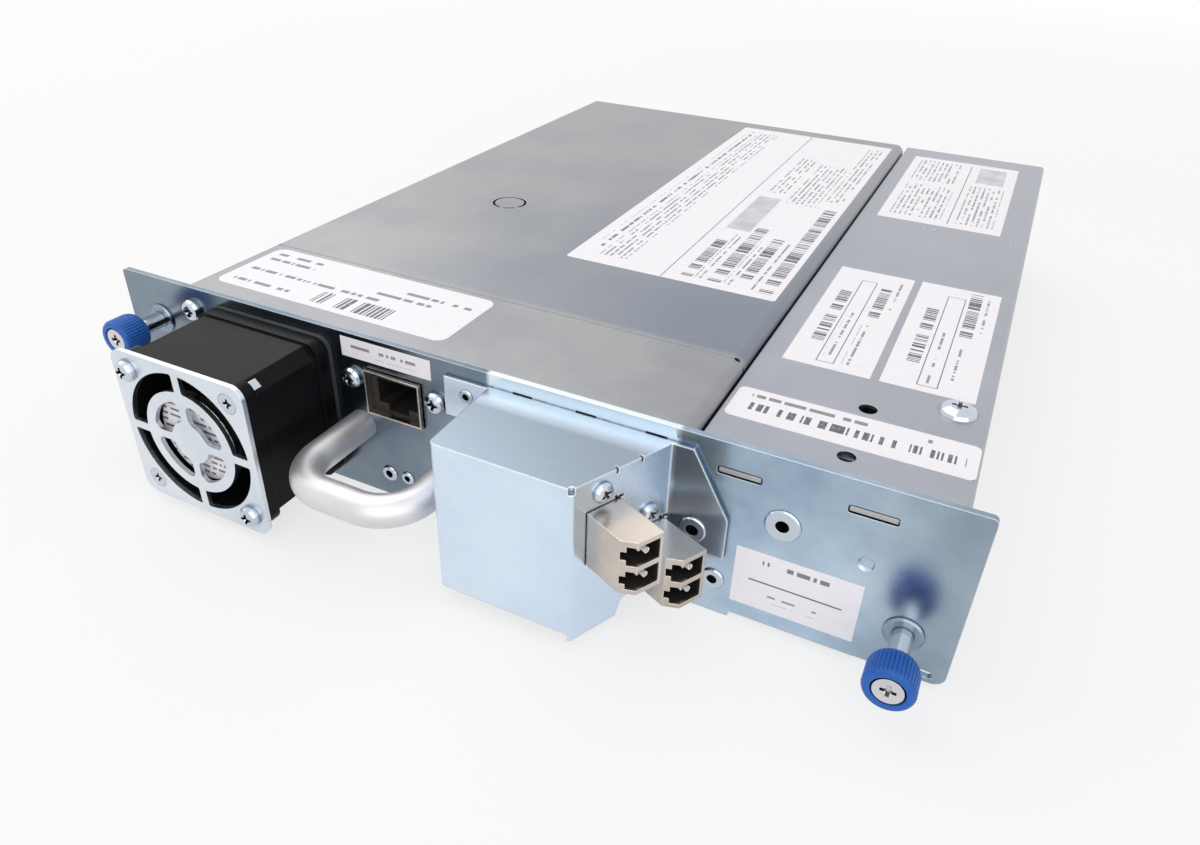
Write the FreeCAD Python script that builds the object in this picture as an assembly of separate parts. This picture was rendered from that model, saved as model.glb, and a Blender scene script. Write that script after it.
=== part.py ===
import FreeCAD, Part
import os
from math import sin, cos, tan, pi, radians

# Half-height tape drive in a slide-in sheet-metal sled.
#
# Bench coordinates, in millimetres, while a piece is made:
#   x  along the service panel, from its left edge
#   y  from the panel's outer face towards the far end (cartridge side)
#   z  up, from the underside of the tray
# Every finished piece is then shifted so that the row's origin lies in the
# middle of the tray's underside.

# ---------------------------------------------------------------- driving sizes

# Service panel
PANEL_H = 44.8           # height of the panel proper
PANEL_LIP = 1.6          # lip below the panel, over the drive and the box
PANEL_T = 1.5            # sheet thickness
PANEL_CORNER = 3.0       # corner radius
LIP_OVER = 12.6          # how far the lip runs past the drive cover
EAR_LEFT = 22.2          # left ear, from the panel's edge to the drive cover
EAR_RIGHT = 4.6          # right ear, from the bay cover to the panel's edge

# Sled and covers
SHEET = 1.0              # tray and cover sheet
BEND = 2.0               # inside bend radius of the covers
FOLD = 0.6               # inside bend radius of the tray and brackets
DRIVE_W = 146.7          # drive cover width, the 5.25 inch half-height class
BAY_W = 54.6             # side bay, from the drive cover's seam to the right ear
SEAM_Y = 34.5            # seam between the short cover and the drive cover
SEAM_GAP = 0.2           # gap across the top at that seam
SIDE_GAP = 0.8           # the same seam down the flanges
COVER_END = 246.0        # far edge of the drive cover
BAY_END = 256.0          # far edge of the tray and the bay cover
COVER_FLANGE = 15.0      # depth of the drive cover's flanges
BAY_DROP = 3.0           # bay cover below the drive cover
BAY_SEAM = 0.5           # gap between the drive cover and the bay cover
BAY_FLANGE = 6.0         # rolled right edge of the bay cover
RAIL_W = 13.0            # open guide channel under the bay cover's right edge
WALL_LEFT = 18.0         # left wall of the tray
FIT = 0.3                # clearance between sheets that slide past each other
SIT = 0.1                # clearance of the casting inside the cover

# Drive casting and its mouth
CAST_WALL = 3.0
CAST_FLOOR = 3.0
CAST_GAP = 1.5           # casting behind the seam
CAST_DROP = 3.4          # casting walls below the cover's top
BEZEL_D = 12.0           # depth of the plastic mouth
BEZEL_DROP = 4.0         # top of the mouth below the cover's top
MOUTH_W = 108.0
MOUTH_H = 24.0
MOUTH_Z = 14.6           # lower lip of the mouth
CART_W = 105.4           # width of a half-inch tape cartridge

# Fan
FAN = 40.0               # square flange
FAN_D = 28.0             # depth
FAN_HOLES = 32.0         # screw spacing
FAN_BORE = 37.6
FAN_FLANGE = 4.0
FAN_STEP = 0.5           # the closed middle of the frame below its flanges
FAN_BEVEL = 3.0          # long edges of that middle
FAN_X = 52.9             # centre, from the panel's left edge
FAN_DROP = 22.8          # centre, below the cover's top
GASKET = 1.3
GUARD = 42.0             # square finger guard, a little larger than the fan
GUARD_T = 1.2
HUB_R = 12.6
BLADES = 7
BLADE_GAP = 0.6          # tip clearance in the bore

# Handle
ROD_D = 8.0
HANDLE_X = 80.4          # left leg, from the panel's left edge
HANDLE_DROP = 25.7
HANDLE_SPAN = 32.0
HANDLE_REACH = 28.0      # axis of the grip, in front of the panel
HANDLE_BEND = 11.0       # bend radius of the axis

# Network port
JACK_X = 82.9            # left edge of the opening
JACK_W = 17.2
JACK_H = 13.0
JACK_DROP = 8.3          # upper edge of the opening
JACK_D = 21.0
SOCKET_W = 11.8          # plug cavity
SOCKET_H = 7.0
SOCKET_D = 13.0

# Fibre port box
BOX_X = 119.6            # left wall at the panel
BOX_IN = 3.2             # its slant meets the panel this far inside the drive cover's edge
BOX_SLANT = 11.7         # width of the slant across the panel
BOX_D = 25.4             # front face, in front of the panel
BOX_T = 1.2
BOX_DROP = 3.3           # top plate below the cover's top
BOX_RISE = 1.9           # lower edge of the front and left walls above that of the slant
BOX_FOLD = 0.3
BOX_FOOT = 1.8           # lower edge above the tray's underside
OPTIC_W = 8.7            # transceiver across
OPTIC_H = 13.5           # transceiver height
OPTIC_WALL = 0.5         # its plated shell
OPTIC_OUT = 13.5         # how far it stands out of the slanted face
NOSE_RUN = 2.4           # slanted part of its nose, across
NOSE_BACK = 3.2          # and back
NOSE_DIP = 0.4           # where it meets the rest of the nose
OPTIC_S = (4.0, 17.1)    # along the slant, from its front edge to each transceiver
OPTIC_DROPS = (10.9, 22.5)
PORT_W = 5.4             # square part of one fibre port
PORT_H = 5.0
PORT_RIM = 0.8           # shell left beside it
PORT_LATCH = (1.6, 4.7)  # its latch slot, across and high
PORT_NOTCH = (0.8, 2.0)  # notch beyond the latch slot
PORT_TOOTH = (0.5, 0.8)  # tooth between the slot and the square part
PORT_PITCH = 6.25
PORT_D = 9.0

# Thumbscrews
KNOB_D = 10.6
KNOB_L = 8.0
SHANK_D = 4.5
THREAD_D = 4.0           # free end
THREAD_L = 7.0
CLIP_D = 7.6
CLIP_T = 0.8
FERRULE_D = 8.4
FERRULE_T = 0.8
RUN = 0.05               # radial running clearance
STROKE_OUT = 20.0        # knob face in front of the panel when pulled out
LEFT_SCREW = (12.0, 12.4, 15.5)    # in from its edge, below the top, knob face
RIGHT_SCREW = (10.3, 33.8, 17.0)

# Take-up reel, tape path and cartridge drive
REEL_SIDE = 5.7          # reel to the casting's left wall
REEL_BACK = 5.0          # reel to the casting's rear wall
PATH_W = 36.8            # tape path, between the reel and the right wall
TAPE_W = 12.65           # half-inch tape
TAPE_Z = 26.0            # middle of the tape path
FLANGE_T = 1.4
CORE_D = 44.0
ROLLER_D = 12.0
ROLLER_FAR = 26.8        # outer rollers, from the casting's right wall
ROLLER_NEAR = 12.8       # inner rollers and head
ROLLER_YS = (46.0, 36.0, 4.0, -8.0)    # each roller beyond the reel's centre
HEAD_PAST = 20.0         # head beyond the reel's centre
CLUTCH_D = 34.0
CARRIAGE_PAST = 6.0      # carriage behind the reel's far edge
CARRIAGE_L = 58.0
CARRIAGE_TRAVEL = 12.0
CLUTCH_PAST = 32.0       # clutch, from the carriage's rear end

# Screws
M3 = 3.0
HEAD_M3 = 5.6            # pan head across
HEAD_H = 2.1

# ---------------------------------------------------------------- worked out

TOP = PANEL_H + PANEL_LIP                 # upper face of the drive cover
DRIVE_X0 = EAR_LEFT
DRIVE_X1 = EAR_LEFT + DRIVE_W
BAY_X0 = DRIVE_X1 + BAY_SEAM
BAY_X1 = BAY_X0 + BAY_W
BAY_MID = (BAY_X0 + BAY_X1) / 2
PANEL_W = BAY_X1 + EAR_RIGHT             # overall width, ears included
LIP_END = DRIVE_X1 + LIP_OVER
BAY_TOP = TOP - BAY_DROP
TRAY_X0 = DRIVE_X0 - FIT - SHEET
TRAY_X1 = BAY_X1 - RAIL_W
CAST_X0 = DRIVE_X0 + SHEET + SIT
CAST_X1 = DRIVE_X1 - SHEET - SIT
CAST_Y0 = SEAM_Y + CAST_GAP
CAST_Y1 = COVER_END - 2.0
CAST_Z0 = SHEET
CAST_Z1 = TOP - CAST_DROP
CAVITY_Z = CAST_Z0 + CAST_FLOOR
DRIVE_MID = (DRIVE_X0 + DRIVE_X1) / 2
REEL_X0 = CAST_X0 + CAST_WALL + REEL_SIDE
REEL_D = CAST_X1 - CAST_WALL - PATH_W - REEL_X0
REEL_X = REEL_X0 + REEL_D / 2
REEL_Y = CAST_Y0 + CAST_WALL + REEL_BACK + REEL_D / 2
roller_xs = [CAST_X1 - CAST_WALL - reach for reach in (ROLLER_FAR, ROLLER_NEAR, ROLLER_NEAR, ROLLER_FAR)]
ROLLERS = [(x, REEL_Y + past) for x, past in zip(roller_xs, ROLLER_YS)]
CARRIAGE_Y0 = REEL_Y + REEL_D / 2 + CARRIAGE_PAST
CARRIAGE_Y1 = CARRIAGE_Y0 + CARRIAGE_L
CLUTCH_Y = CARRIAGE_Y0 + CLUTCH_PAST
BOX_Z1 = TOP - BOX_DROP
BOX_RIGHT = DRIVE_X1 - BOX_IN
BOX_FRONT = BOX_RIGHT - BOX_SLANT
BOX_MID = (BOX_X + BOX_RIGHT) / 2
SHIFT = FreeCAD.Vector(-PANEL_W / 2, -BAY_END / 2, 0)

X = FreeCAD.Vector(1, 0, 0)
Y = FreeCAD.Vector(0, 1, 0)
Z = FreeCAD.Vector(0, 0, 1)


def V(x, y, z):
    return FreeCAD.Vector(x, y, z)


# ---------------------------------------------------------------- shape helpers

def block(x0, x1, y0, y1, z0, z1):
    """A box between two corners."""
    return Part.makeBox(x1 - x0, y1 - y0, z1 - z0, V(x0, y0, z0))


def rod(diameter, start, direction, length):
    """A round bar from start along direction."""
    return Part.makeCylinder(diameter / 2, length, start, direction)


def outline(points, radii):
    """Closed wire through points, each corner rounded by its tangent arc."""
    count = len(points)
    if not isinstance(radii, (list, tuple)):
        radii = [radii] * count
    edges = []
    ends = []
    for i, corner in enumerate(points):
        back = points[i - 1] - corner
        ahead = points[(i + 1) % count] - corner
        back.normalize()
        ahead.normalize()
        if radii[i] <= 0:
            ends.append((corner, corner, None))
            continue
        half = back.getAngle(ahead) / 2
        reach = radii[i] / tan(half)
        middle = back + ahead
        middle.normalize()
        centre = corner + middle * (radii[i] / sin(half))
        ends.append((corner + back * reach, corner + ahead * reach, centre - middle * radii[i]))
    for i, (start, end, mid) in enumerate(ends):
        if mid is not None:
            edges.append(Part.Arc(start, mid, end).toShape())
        following = ends[(i + 1) % count][0]
        if (following - end).Length > 1e-6:
            edges.append(Part.makeLine(end, following))
    return Part.Wire(edges)


def prism(points, radii, along):
    """The face inside an outline, extruded by the vector along."""
    return Part.Face(outline(points, radii)).extrude(along)


def bent(path, thickness, inner, along):
    """A folded sheet: path is its outer line, with the thickness on the left of
    the way it runs, seen against the vector along. Each corner is bent to the
    inside radius inner."""
    normal = V(along.x, along.y, along.z)
    normal.normalize()
    lefts = []
    for a, b in zip(path, path[1:]):
        way = b - a
        way.normalize()
        lefts.append(normal.cross(way))
    inside = [path[0] + lefts[0] * thickness]
    turns = []
    for i in range(1, len(path) - 1):
        one, two = lefts[i - 1], lefts[i]
        mitre = one + two
        mitre = mitre * (thickness / (1 + one.dot(two)))
        inside.append(path[i] + mitre)
        turns.append(one.cross(two).dot(normal) > 0)
    inside.append(path[-1] + lefts[-1] * thickness)
    outer_r = [0] + [inner + thickness if left else inner for left in turns] + [0]
    inner_r = [0] + [inner if left else inner + thickness for left in turns] + [0]
    return prism(path + inside[::-1], outer_r + inner_r[::-1], along)


def turned(profile, start, direction):
    """A turned piece: profile is (radius, distance along the axis) points."""
    points = [V(r, 0, h) for r, h in profile]
    face = Part.Face(Part.makePolygon(points + points[:1]))
    solid = face.revolve(V(0, 0, 0), Z, 360)
    return place(solid, start, direction)


def place(shape, start, direction):
    """Turn a shape made on +Z to point along direction and move it to start."""
    turn = FreeCAD.Rotation(Z, direction)
    moved = shape.copy()
    moved.Placement = FreeCAD.Placement(start, turn).multiply(shape.Placement)
    return moved


def fuse(*shapes):
    first, rest = shapes[0], list(shapes[1:])
    joined = first.fuse(rest) if rest else first
    return joined.removeSplitter()


def cut(base, *tools):
    return base.cut(list(tools)).removeSplitter()


def cross_recess(size, depth):
    """A Phillips recess about +Z, cutting down from z = 0."""
    arm = size / 4
    slot = block(-size / 2, size / 2, -arm / 2, arm / 2, -depth, 0.5)
    tip = Part.makeCone(size * 0.12, size * 0.3, depth, V(0, 0, -depth), Z)
    turned_slot = slot.copy()
    turned_slot.rotate(V(0, 0, 0), Z, 90)
    return slot.fuse([turned_slot, tip])


def pan_screw(start, out, diameter, head, height, length):
    """Pan-head cross-recess screw; start is under the head, out points away
    from the joint, and the shank runs the other way."""
    dome = [(0, 0), (head / 2, 0), (head / 2, height * 0.45), (head * 0.42, height * 0.8),
            (head * 0.25, height), (0, height)]
    body = turned(dome, V(0, 0, 0), Z)
    body = body.fuse(Part.makeCylinder(diameter / 2, length, V(0, 0, -length), Z))
    recess = cross_recess(head * 0.55, height * 0.6)
    recess.translate(V(0, 0, height))
    return place(cut(body, recess), start, out)


def flush_screw(start, out, diameter, head, length):
    """Countersunk cross-recess screw; start is the centre of its flat face."""
    sink = (head - diameter) / 2
    cone = [(0, 0), (head / 2, 0), (head / 2, -0.3), (diameter / 2, -0.3 - sink),
            (diameter / 2, -length), (0, -length)]
    body = turned(cone, V(0, 0, 0), Z)
    return place(cut(body, cross_recess(head * 0.5, sink)), start, out)


def sink_tool(start, out, diameter, head, length):
    """The space that a countersunk screw needs, with its clearance."""
    sink = (head - diameter) / 2
    wide = head / 2 + 0.1
    thin = diameter / 2 + 0.2
    cone = [(0, 1), (wide, 1), (wide, -0.35), (thin, -0.35 - sink), (thin, -length), (0, -length)]
    return place(turned(cone, V(0, 0, 0), Z), start, out)


def save(node, *solids):
    """Shift the finished solids into the row frame and write the node."""
    moved = []
    for solid in solids:
        for piece in solid.Solids:
            one = piece.copy()
            one.translate(SHIFT)
            moved.append(one)
    shape = moved[0] if len(moved) == 1 else Part.makeCompound(moved)
    shape.exportStep("parts/" + node + ".step")


os.makedirs("parts", exist_ok=True)

# ---------------------------------------------------------------- chassis tray

RIGHT_WALL_TOP = BAY_TOP - SHEET
tray_path = [V(TRAY_X0, PANEL_T, WALL_LEFT), V(TRAY_X0, PANEL_T, 0), V(TRAY_X1, PANEL_T, 0),
             V(TRAY_X1, PANEL_T, RIGHT_WALL_TOP)]
# the profile lies in a plane of constant y, seen from the panel, so it is
# drawn against -y and extruded towards the far end
tray = bent(tray_path[::-1], SHEET, FOLD, V(0, BAY_END - PANEL_T, 0))

VENT_W, VENT_PITCH, VENTS = 3.0, 7.0, 8
VENT_EDGE = 7.6                          # floor left beside the slots
SIDE_VENT_Z = (10.0, 30.8)
vent_x0 = BAY_X0 + VENT_EDGE + 0.4
VENT_L = TRAY_X1 - VENT_EDGE - vent_x0
vents = []
for i in range(VENTS):
    y = BAY_END / 2 + (i - (VENTS - 1) / 2) * VENT_PITCH
    corners = [V(vent_x0, y, -1), V(vent_x0 + VENT_L, y, -1),
               V(vent_x0 + VENT_L, y + VENT_W, -1), V(vent_x0, y + VENT_W, -1)]
    vents.append(prism(corners, VENT_W / 2 - 0.01, V(0, 0, SHEET + 2)))

# holes that hold the casting down, in a rectangle near its corners
FOOT_INSET = 14.0
foot_spots = [(x, y) for x in (CAST_X0 + FOOT_INSET, CAST_X1 - FOOT_INSET)
              for y in (CAST_Y0 + FOOT_INSET, CAST_Y1 - FOOT_INSET)]
FOOT_SINK = HEAD_M3
foot_tools = [sink_tool(V(x, y, 0), -Z, M3, FOOT_SINK, CAST_FLOOR) for x, y in foot_spots]

# row of slots in the bay's right wall
side_vents = []
for i in range(VENTS):
    y = BAY_END / 2 + (i - (VENTS - 1) / 2) * VENT_PITCH
    side_vents.append(block(TRAY_X1 - SHEET - 1, TRAY_X1 + 1, y, y + VENT_W, *SIDE_VENT_Z))
tray = cut(tray, *(vents + foot_tools + side_vents))

# ---------------------------------------------------------------- bay divider

DIVIDER_X = BAY_X0 + 0.6
DIVIDER_FOOT = 8.0
DIVIDER_Y0 = 4.0
TOP_FLANGE = (26.0, 234.0)               # where the divider keeps its top flange
divider_path = [V(DIVIDER_X + DIVIDER_FOOT, 0, RIGHT_WALL_TOP), V(DIVIDER_X, 0, RIGHT_WALL_TOP),
                V(DIVIDER_X, 0, SHEET), V(DIVIDER_X + DIVIDER_FOOT, 0, SHEET)]
for point in divider_path:
    point.y = DIVIDER_Y0
divider = bent(divider_path[::-1], SHEET, FOLD, V(0, BAY_END - DIVIDER_Y0, 0))
CABLE_GATE = (6.0, 24.0, 10.0, 30.0)     # y from the panel and z of the cable gate
divider_gate = block(DIVIDER_X - 1, DIVIDER_X + SHEET + 1,
                     PANEL_T + CABLE_GATE[0], PANEL_T + CABLE_GATE[1], CABLE_GATE[2], CABLE_GATE[3])
flange_ends = [block(DIVIDER_X + SHEET, DIVIDER_X + DIVIDER_FOOT + 1, y0, y1,
                     RIGHT_WALL_TOP - 2, RIGHT_WALL_TOP + 1)
               for y0, y1 in ((DIVIDER_Y0 - 1, TOP_FLANGE[0]), (TOP_FLANGE[1], BAY_END + 1))]
divider = cut(divider, divider_gate, *flange_ends)

# ---------------------------------------------------------------- service panel

lip_x0 = TRAY_X0
panel_corners = [V(0, 0, PANEL_LIP), V(lip_x0, 0, PANEL_LIP), V(lip_x0, 0, 0), V(LIP_END, 0, 0),
                 V(LIP_END, 0, PANEL_LIP), V(PANEL_W, 0, PANEL_LIP), V(PANEL_W, 0, TOP), V(0, 0, TOP)]
panel = prism(panel_corners, [PANEL_CORNER, 0.5, 0.5, 0.5, 0.5, PANEL_CORNER, 1.2, 1.2],
              V(0, PANEL_T, 0))

fan_z = TOP - FAN_DROP
fan_spots = [V(FAN_X + a * FAN_HOLES / 2, 0, fan_z + b * FAN_HOLES / 2)
             for a, b in ((-1, 1), (1, 1), (1, -1), (-1, -1))]
panel_tools = [rod(FAN_BORE, V(FAN_X, -1, fan_z), Y, PANEL_T + 2)]
panel_tools += [rod(M3 - 0.4, spot - Y, Y, PANEL_T + 2) for spot in fan_spots]

# handle, network port and fibre box openings
handle_z = TOP - HANDLE_DROP
handle_legs = (HANDLE_X, HANDLE_X + HANDLE_SPAN)
HANDLE_SCREW = 4.0
panel_tools += [rod(HANDLE_SCREW + 0.4, V(x, -1, handle_z), Y, PANEL_T + 2) for x in handle_legs]
jack_z1 = TOP - JACK_DROP
jack_z0 = jack_z1 - JACK_H
panel_tools.append(block(JACK_X, JACK_X + JACK_W, -1, PANEL_T + 1, jack_z0, jack_z1))
JACK_SCREW_OUT = 4.0
jack_screw_z = jack_z1 - JACK_H * 0.3
jack_screws_at = [V(JACK_X - JACK_SCREW_OUT, 0, jack_screw_z),
                  V(JACK_X + JACK_W + JACK_SCREW_OUT, 0, jack_screw_z)]
panel_tools += [rod(M3 + 0.3, spot - Y, Y, PANEL_T + 2) for spot in jack_screws_at]
BOX_WINDOW = (6.0, 1.6)                  # panel left inside the box at its left and right
panel_tools.append(block(BOX_X + BOX_WINDOW[0], BOX_RIGHT - BOX_WINDOW[1], -1, PANEL_T + 1,
                         BOX_FOOT + 8, BOX_Z1 - 8))

# thumbscrew ferrule seats
screw_specs = {"left": LEFT_SCREW, "right": (PANEL_W - RIGHT_SCREW[0], RIGHT_SCREW[1], RIGHT_SCREW[2])}
FERRULE_SEAT = SHANK_D + 2.4
for x, drop, face in screw_specs.values():
    panel_tools.append(rod(FERRULE_SEAT, V(x, -1, TOP - drop), Y, PANEL_T + 2))

# bracket tongues, box tabs and the small slot by the right corner
TONGUE_DROP = 7.1
TONGUES = ((BAY_X0 + 5.6, BAY_X0 + 15.3), (BAY_X1 - 21.8, BAY_X1 - 11.8))
TONGUE_T = 1.2
TONGUE_PLAY = 0.4
tongue_z = TOP - TONGUE_DROP
for x0, x1 in TONGUES:
    low = tongue_z - TONGUE_T / 2 - TONGUE_PLAY
    high = tongue_z + TONGUE_T / 2 + TONGUE_PLAY
    ends = [V(x0, -1, low), V(x1, -1, low), V(x1, -1, high), V(x0, -1, high)]
    panel_tools.append(prism(ends, 0.6, V(0, PANEL_T + 2, 0)))
TABS = (BOX_X + 8.5, BOX_MID + 1.55, BOX_RIGHT - 4.7)
TAB_W = 4.6
for x in TABS:
    panel_tools.append(block(x - TAB_W / 2 - 0.2, x + TAB_W / 2 + 0.2, -1, PANEL_T + 1,
                             BOX_Z1 - BOX_T - 0.1, BOX_Z1 + 0.3))
CORNER_SLOT_W, CORNER_SLOT_H, CORNER_SLOT_UP = 7.0, 1.8, 1.2
slot_x1 = PANEL_W - 2.6
slot_z0 = PANEL_LIP + CORNER_SLOT_UP
slot_x0 = slot_x1 - CORNER_SLOT_W
slot_z1 = slot_z0 + CORNER_SLOT_H
slot_corners = [V(slot_x0, -1, slot_z0), V(slot_x1, -1, slot_z0),
                V(slot_x1, -1, slot_z1), V(slot_x0, -1, slot_z1)]
panel_tools.append(prism(slot_corners, CORNER_SLOT_H / 2 - 0.01, V(0, PANEL_T + 2, 0)))

# clinched fastener seats: from the left edge, below the top, outer and hole diameters
RIVETS = ((BAY_X0 + 7.5, 36.8, 5.5, 2.4), (BAY_X0 + 20.9, 16.4, 7.8, 3.0),
          (JACK_X + 4.3, 39.4, 4.6, 2.2), (JACK_X + 10.1, 39.0, 3.8, 1.8))
BOX_RIVETS = ((BOX_RIGHT + 5.7, 23.9, 6.4, 3.0), (BOX_X - 5.9, 7.2, 3.6, 1.8))
for x, drop, outer, inner in RIVETS + BOX_RIVETS:
    panel_tools.append(rod(outer - 1.2, V(x, -1, TOP - drop), Y, PANEL_T + 2))
PANEL_SCREW = (DRIVE_X0 + 3.2, 6.5)
panel_tools.append(rod(M3 + 0.3, V(PANEL_SCREW[0], -1, TOP - PANEL_SCREW[1]), Y, PANEL_T + 2))
DIMPLE = (BAY_X1 - 16.0, 19.3, 3.6, 0.5)
panel_tools.append(Part.makeCone(DIMPLE[2] / 2, DIMPLE[2] / 2 - 0.4, DIMPLE[3],
                                 V(DIMPLE[0], -0.001, TOP - DIMPLE[1]), Y))
panel = cut(panel, *panel_tools)

# ---------------------------------------------------------------- top covers


def cover_profile(low, y0, y1):
    path = [V(DRIVE_X1, y0, low), V(DRIVE_X1, y0, TOP), V(DRIVE_X0, y0, TOP), V(DRIVE_X0, y0, low)]
    return bent(path[::-1], SHEET, BEND, V(0, y1 - y0, 0))


short_end = SEAM_Y - SEAM_GAP / 2
short_cover = cover_profile(SHEET + FOLD, PANEL_T, short_end)
TAB_EAR_W, TAB_EAR_H = 11.0, 11.0
ear = block(DRIVE_X0 + SHEET, DRIVE_X0 + SHEET + TAB_EAR_W, PANEL_T, PANEL_T + SHEET,
            TOP - SHEET - BEND - TAB_EAR_H, TOP - SHEET - BEND)
flange_gap = [block(x - SHEET - 1, x + SHEET + 1, SEAM_Y - SIDE_GAP, SEAM_Y + 1, -1, TOP - SHEET - BEND + 1)
              for x in (DRIVE_X0, DRIVE_X1)]
RELIEF = 1.6
relief = [rod(RELIEF, V(x, SEAM_Y, TOP - SHEET - BEND), Z, SHEET + BEND + 1)
          for x in (DRIVE_X0 + BEND, DRIVE_X1 - BEND)]
cable_gate = block(DRIVE_X1 - SHEET - 0.5, DRIVE_X1 + 1, PANEL_T + CABLE_GATE[0],
                   PANEL_T + CABLE_GATE[1], CABLE_GATE[2], CABLE_GATE[3])
short_cover = fuse(short_cover, ear)
short_cover = cut(short_cover, cable_gate,
                  rod(M3, V(PANEL_SCREW[0], 0, TOP - PANEL_SCREW[1]), Y, PANEL_T + SHEET + 1),
                  *(flange_gap + relief))

COVER_LOW = TOP - COVER_FLANGE
drive_cover = cover_profile(COVER_LOW, SEAM_Y + SEAM_GAP / 2, COVER_END)
EYE = (DRIVE_X0 + 41.6, 100.8, 11.4)     # knock-out in the cover: x, y, outer diameter
EYE_SLOT, EYE_BRIDGE = 0.8, 1.2
EYE_BRIDGES = (-90, -35)                 # where its two bridges stand, degrees from +x
SIDE_SCREW_DROP = 9.0
side_ys = (CAST_Y0 + 22, COVER_END - 30)
side_holes = [rod(M3 + 0.3, V(x, y, TOP - SIDE_SCREW_DROP), X, SHEET + 2)
              for x in (DRIVE_X0 - 1, DRIVE_X1 - SHEET - 1) for y in side_ys]
eye_ring = rod(EYE[2], V(EYE[0], EYE[1], TOP - SHEET - 1), Z, SHEET + 2)
eye_ring = eye_ring.cut(rod(EYE[2] - 2 * EYE_SLOT, V(EYE[0], EYE[1], TOP - SHEET - 2), Z, SHEET + 4))
for angle in EYE_BRIDGES:
    bridge = block(0, EYE[2], -EYE_BRIDGE / 2, EYE_BRIDGE / 2, TOP - 2 * SHEET, TOP + 2)
    bridge.rotate(V(0, 0, 0), Z, angle)
    bridge.translate(V(EYE[0], EYE[1], 0))
    eye_ring = eye_ring.cut(bridge)
drive_cover = cut(drive_cover, *(eye_ring.Solids + relief + side_holes))

bay_path = [V(BAY_X0, PANEL_T, BAY_TOP), V(BAY_X1, PANEL_T, BAY_TOP),
            V(BAY_X1, PANEL_T, BAY_TOP - BAY_FLANGE)]
bay_cover = bent(bay_path, SHEET, FOLD, V(0, BAY_END - PANEL_T, 0))
BAY_HOLES = ((BAY_MID + 2.0, 32.1, 4.2), (BAY_MID + 1.9, 11.3, 4.0))
BUTTON = (BAY_X1 - 7.1, 40.7, 8.6)       # button-head screw: x, y, head across
bay_tools = [rod(d, V(x, y, BAY_TOP - SHEET - 1), Z, SHEET + 2) for x, y, d in BAY_HOLES]
bay_tools.append(rod(M3 + 0.3, V(BUTTON[0], BUTTON[1], BAY_TOP - SHEET - 1), Z, SHEET + 2))
bay_cover = cut(bay_cover, *bay_tools)
# pairs of small formed nibs on the bay cover
NIBS = ((BAY_MID - 3.3, 158.0), (BAY_X1 - 6.6, 159.5))
NIB_D, NIB_PITCH, NIB_H = 1.6, 3.2, 0.25
nibs = [Part.makeCone(NIB_D / 2, NIB_D / 4, NIB_H, V(x + k * NIB_PITCH, y, BAY_TOP), Z)
        for x, y in NIBS for k in (-0.5, 0.5)]
bay_cover = fuse(bay_cover, *nibs)

# angle under the button screw, carried by the tray's right wall
ANGLE_L, ANGLE_DOWN = 16.0, 10.0
angle_path = [V(TRAY_X1, BUTTON[1] - ANGLE_L / 2, RIGHT_WALL_TOP - ANGLE_DOWN),
              V(TRAY_X1, BUTTON[1] - ANGLE_L / 2, RIGHT_WALL_TOP),
              V(BAY_X1 - SHEET - FOLD - FIT, BUTTON[1] - ANGLE_L / 2, RIGHT_WALL_TOP)]
bay_angle = bent(angle_path[::-1], SHEET, FOLD, V(0, -ANGLE_L, 0))
bay_angle.translate(V(0, ANGLE_L, 0))
bay_angle = cut(bay_angle, rod(M3, V(BUTTON[0], BUTTON[1], RIGHT_WALL_TOP - SHEET - 1), Z, SHEET + 2))
dome = [(0, 0), (BUTTON[2] / 2, 0), (BUTTON[2] * 0.44, 0.9), (BUTTON[2] * 0.25, 1.7), (0, 2.0)]
cover_button = turned(dome, V(0, 0, 0), Z).fuse(rod(M3 - 0.2, V(0, 0, -5), Z, 5))
recess = cross_recess(3.4, 1.2)
recess.translate(V(0, 0, 2.0))
cover_button = cut(cover_button, recess)
cover_button.translate(V(BUTTON[0], BUTTON[1], BAY_TOP))

# shelf behind the panel whose tongues show in the two long slots
SHELF_D = 14.0
SHELF_FLANGE = 7.0
shelf_z1 = tongue_z + TONGUE_T / 2
shelf_x0 = BAY_X0 + 4
shelf_x1 = TRAY_X1 + 1.4
shelf_path = [V(shelf_x0, PANEL_T, shelf_z1), V(shelf_x0, PANEL_T + SHELF_D, shelf_z1),
              V(shelf_x0, PANEL_T + SHELF_D, RIGHT_WALL_TOP),
              V(shelf_x0, PANEL_T + SHELF_D + SHELF_FLANGE, RIGHT_WALL_TOP)]
shelf = bent(shelf_path, TONGUE_T, FOLD, V(-(shelf_x1 - shelf_x0), 0, 0))
shelf.translate(V(shelf_x1 - shelf_x0, 0, 0))
tongues = [block(x0 + 0.3, x1 - 0.3, 0.2, PANEL_T, shelf_z1 - TONGUE_T, shelf_z1) for x0, x1 in TONGUES]
bay_bracket = fuse(shelf, *tongues)
tray = cut(tray, block(TRAY_X1 - SHEET - 1, TRAY_X1 + 1, 0, PANEL_T + SHELF_D + SHELF_FLANGE + 1,
                       shelf_z1 - TONGUE_T - FIT, TOP))

# ---------------------------------------------------------------- drive casting

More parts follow.
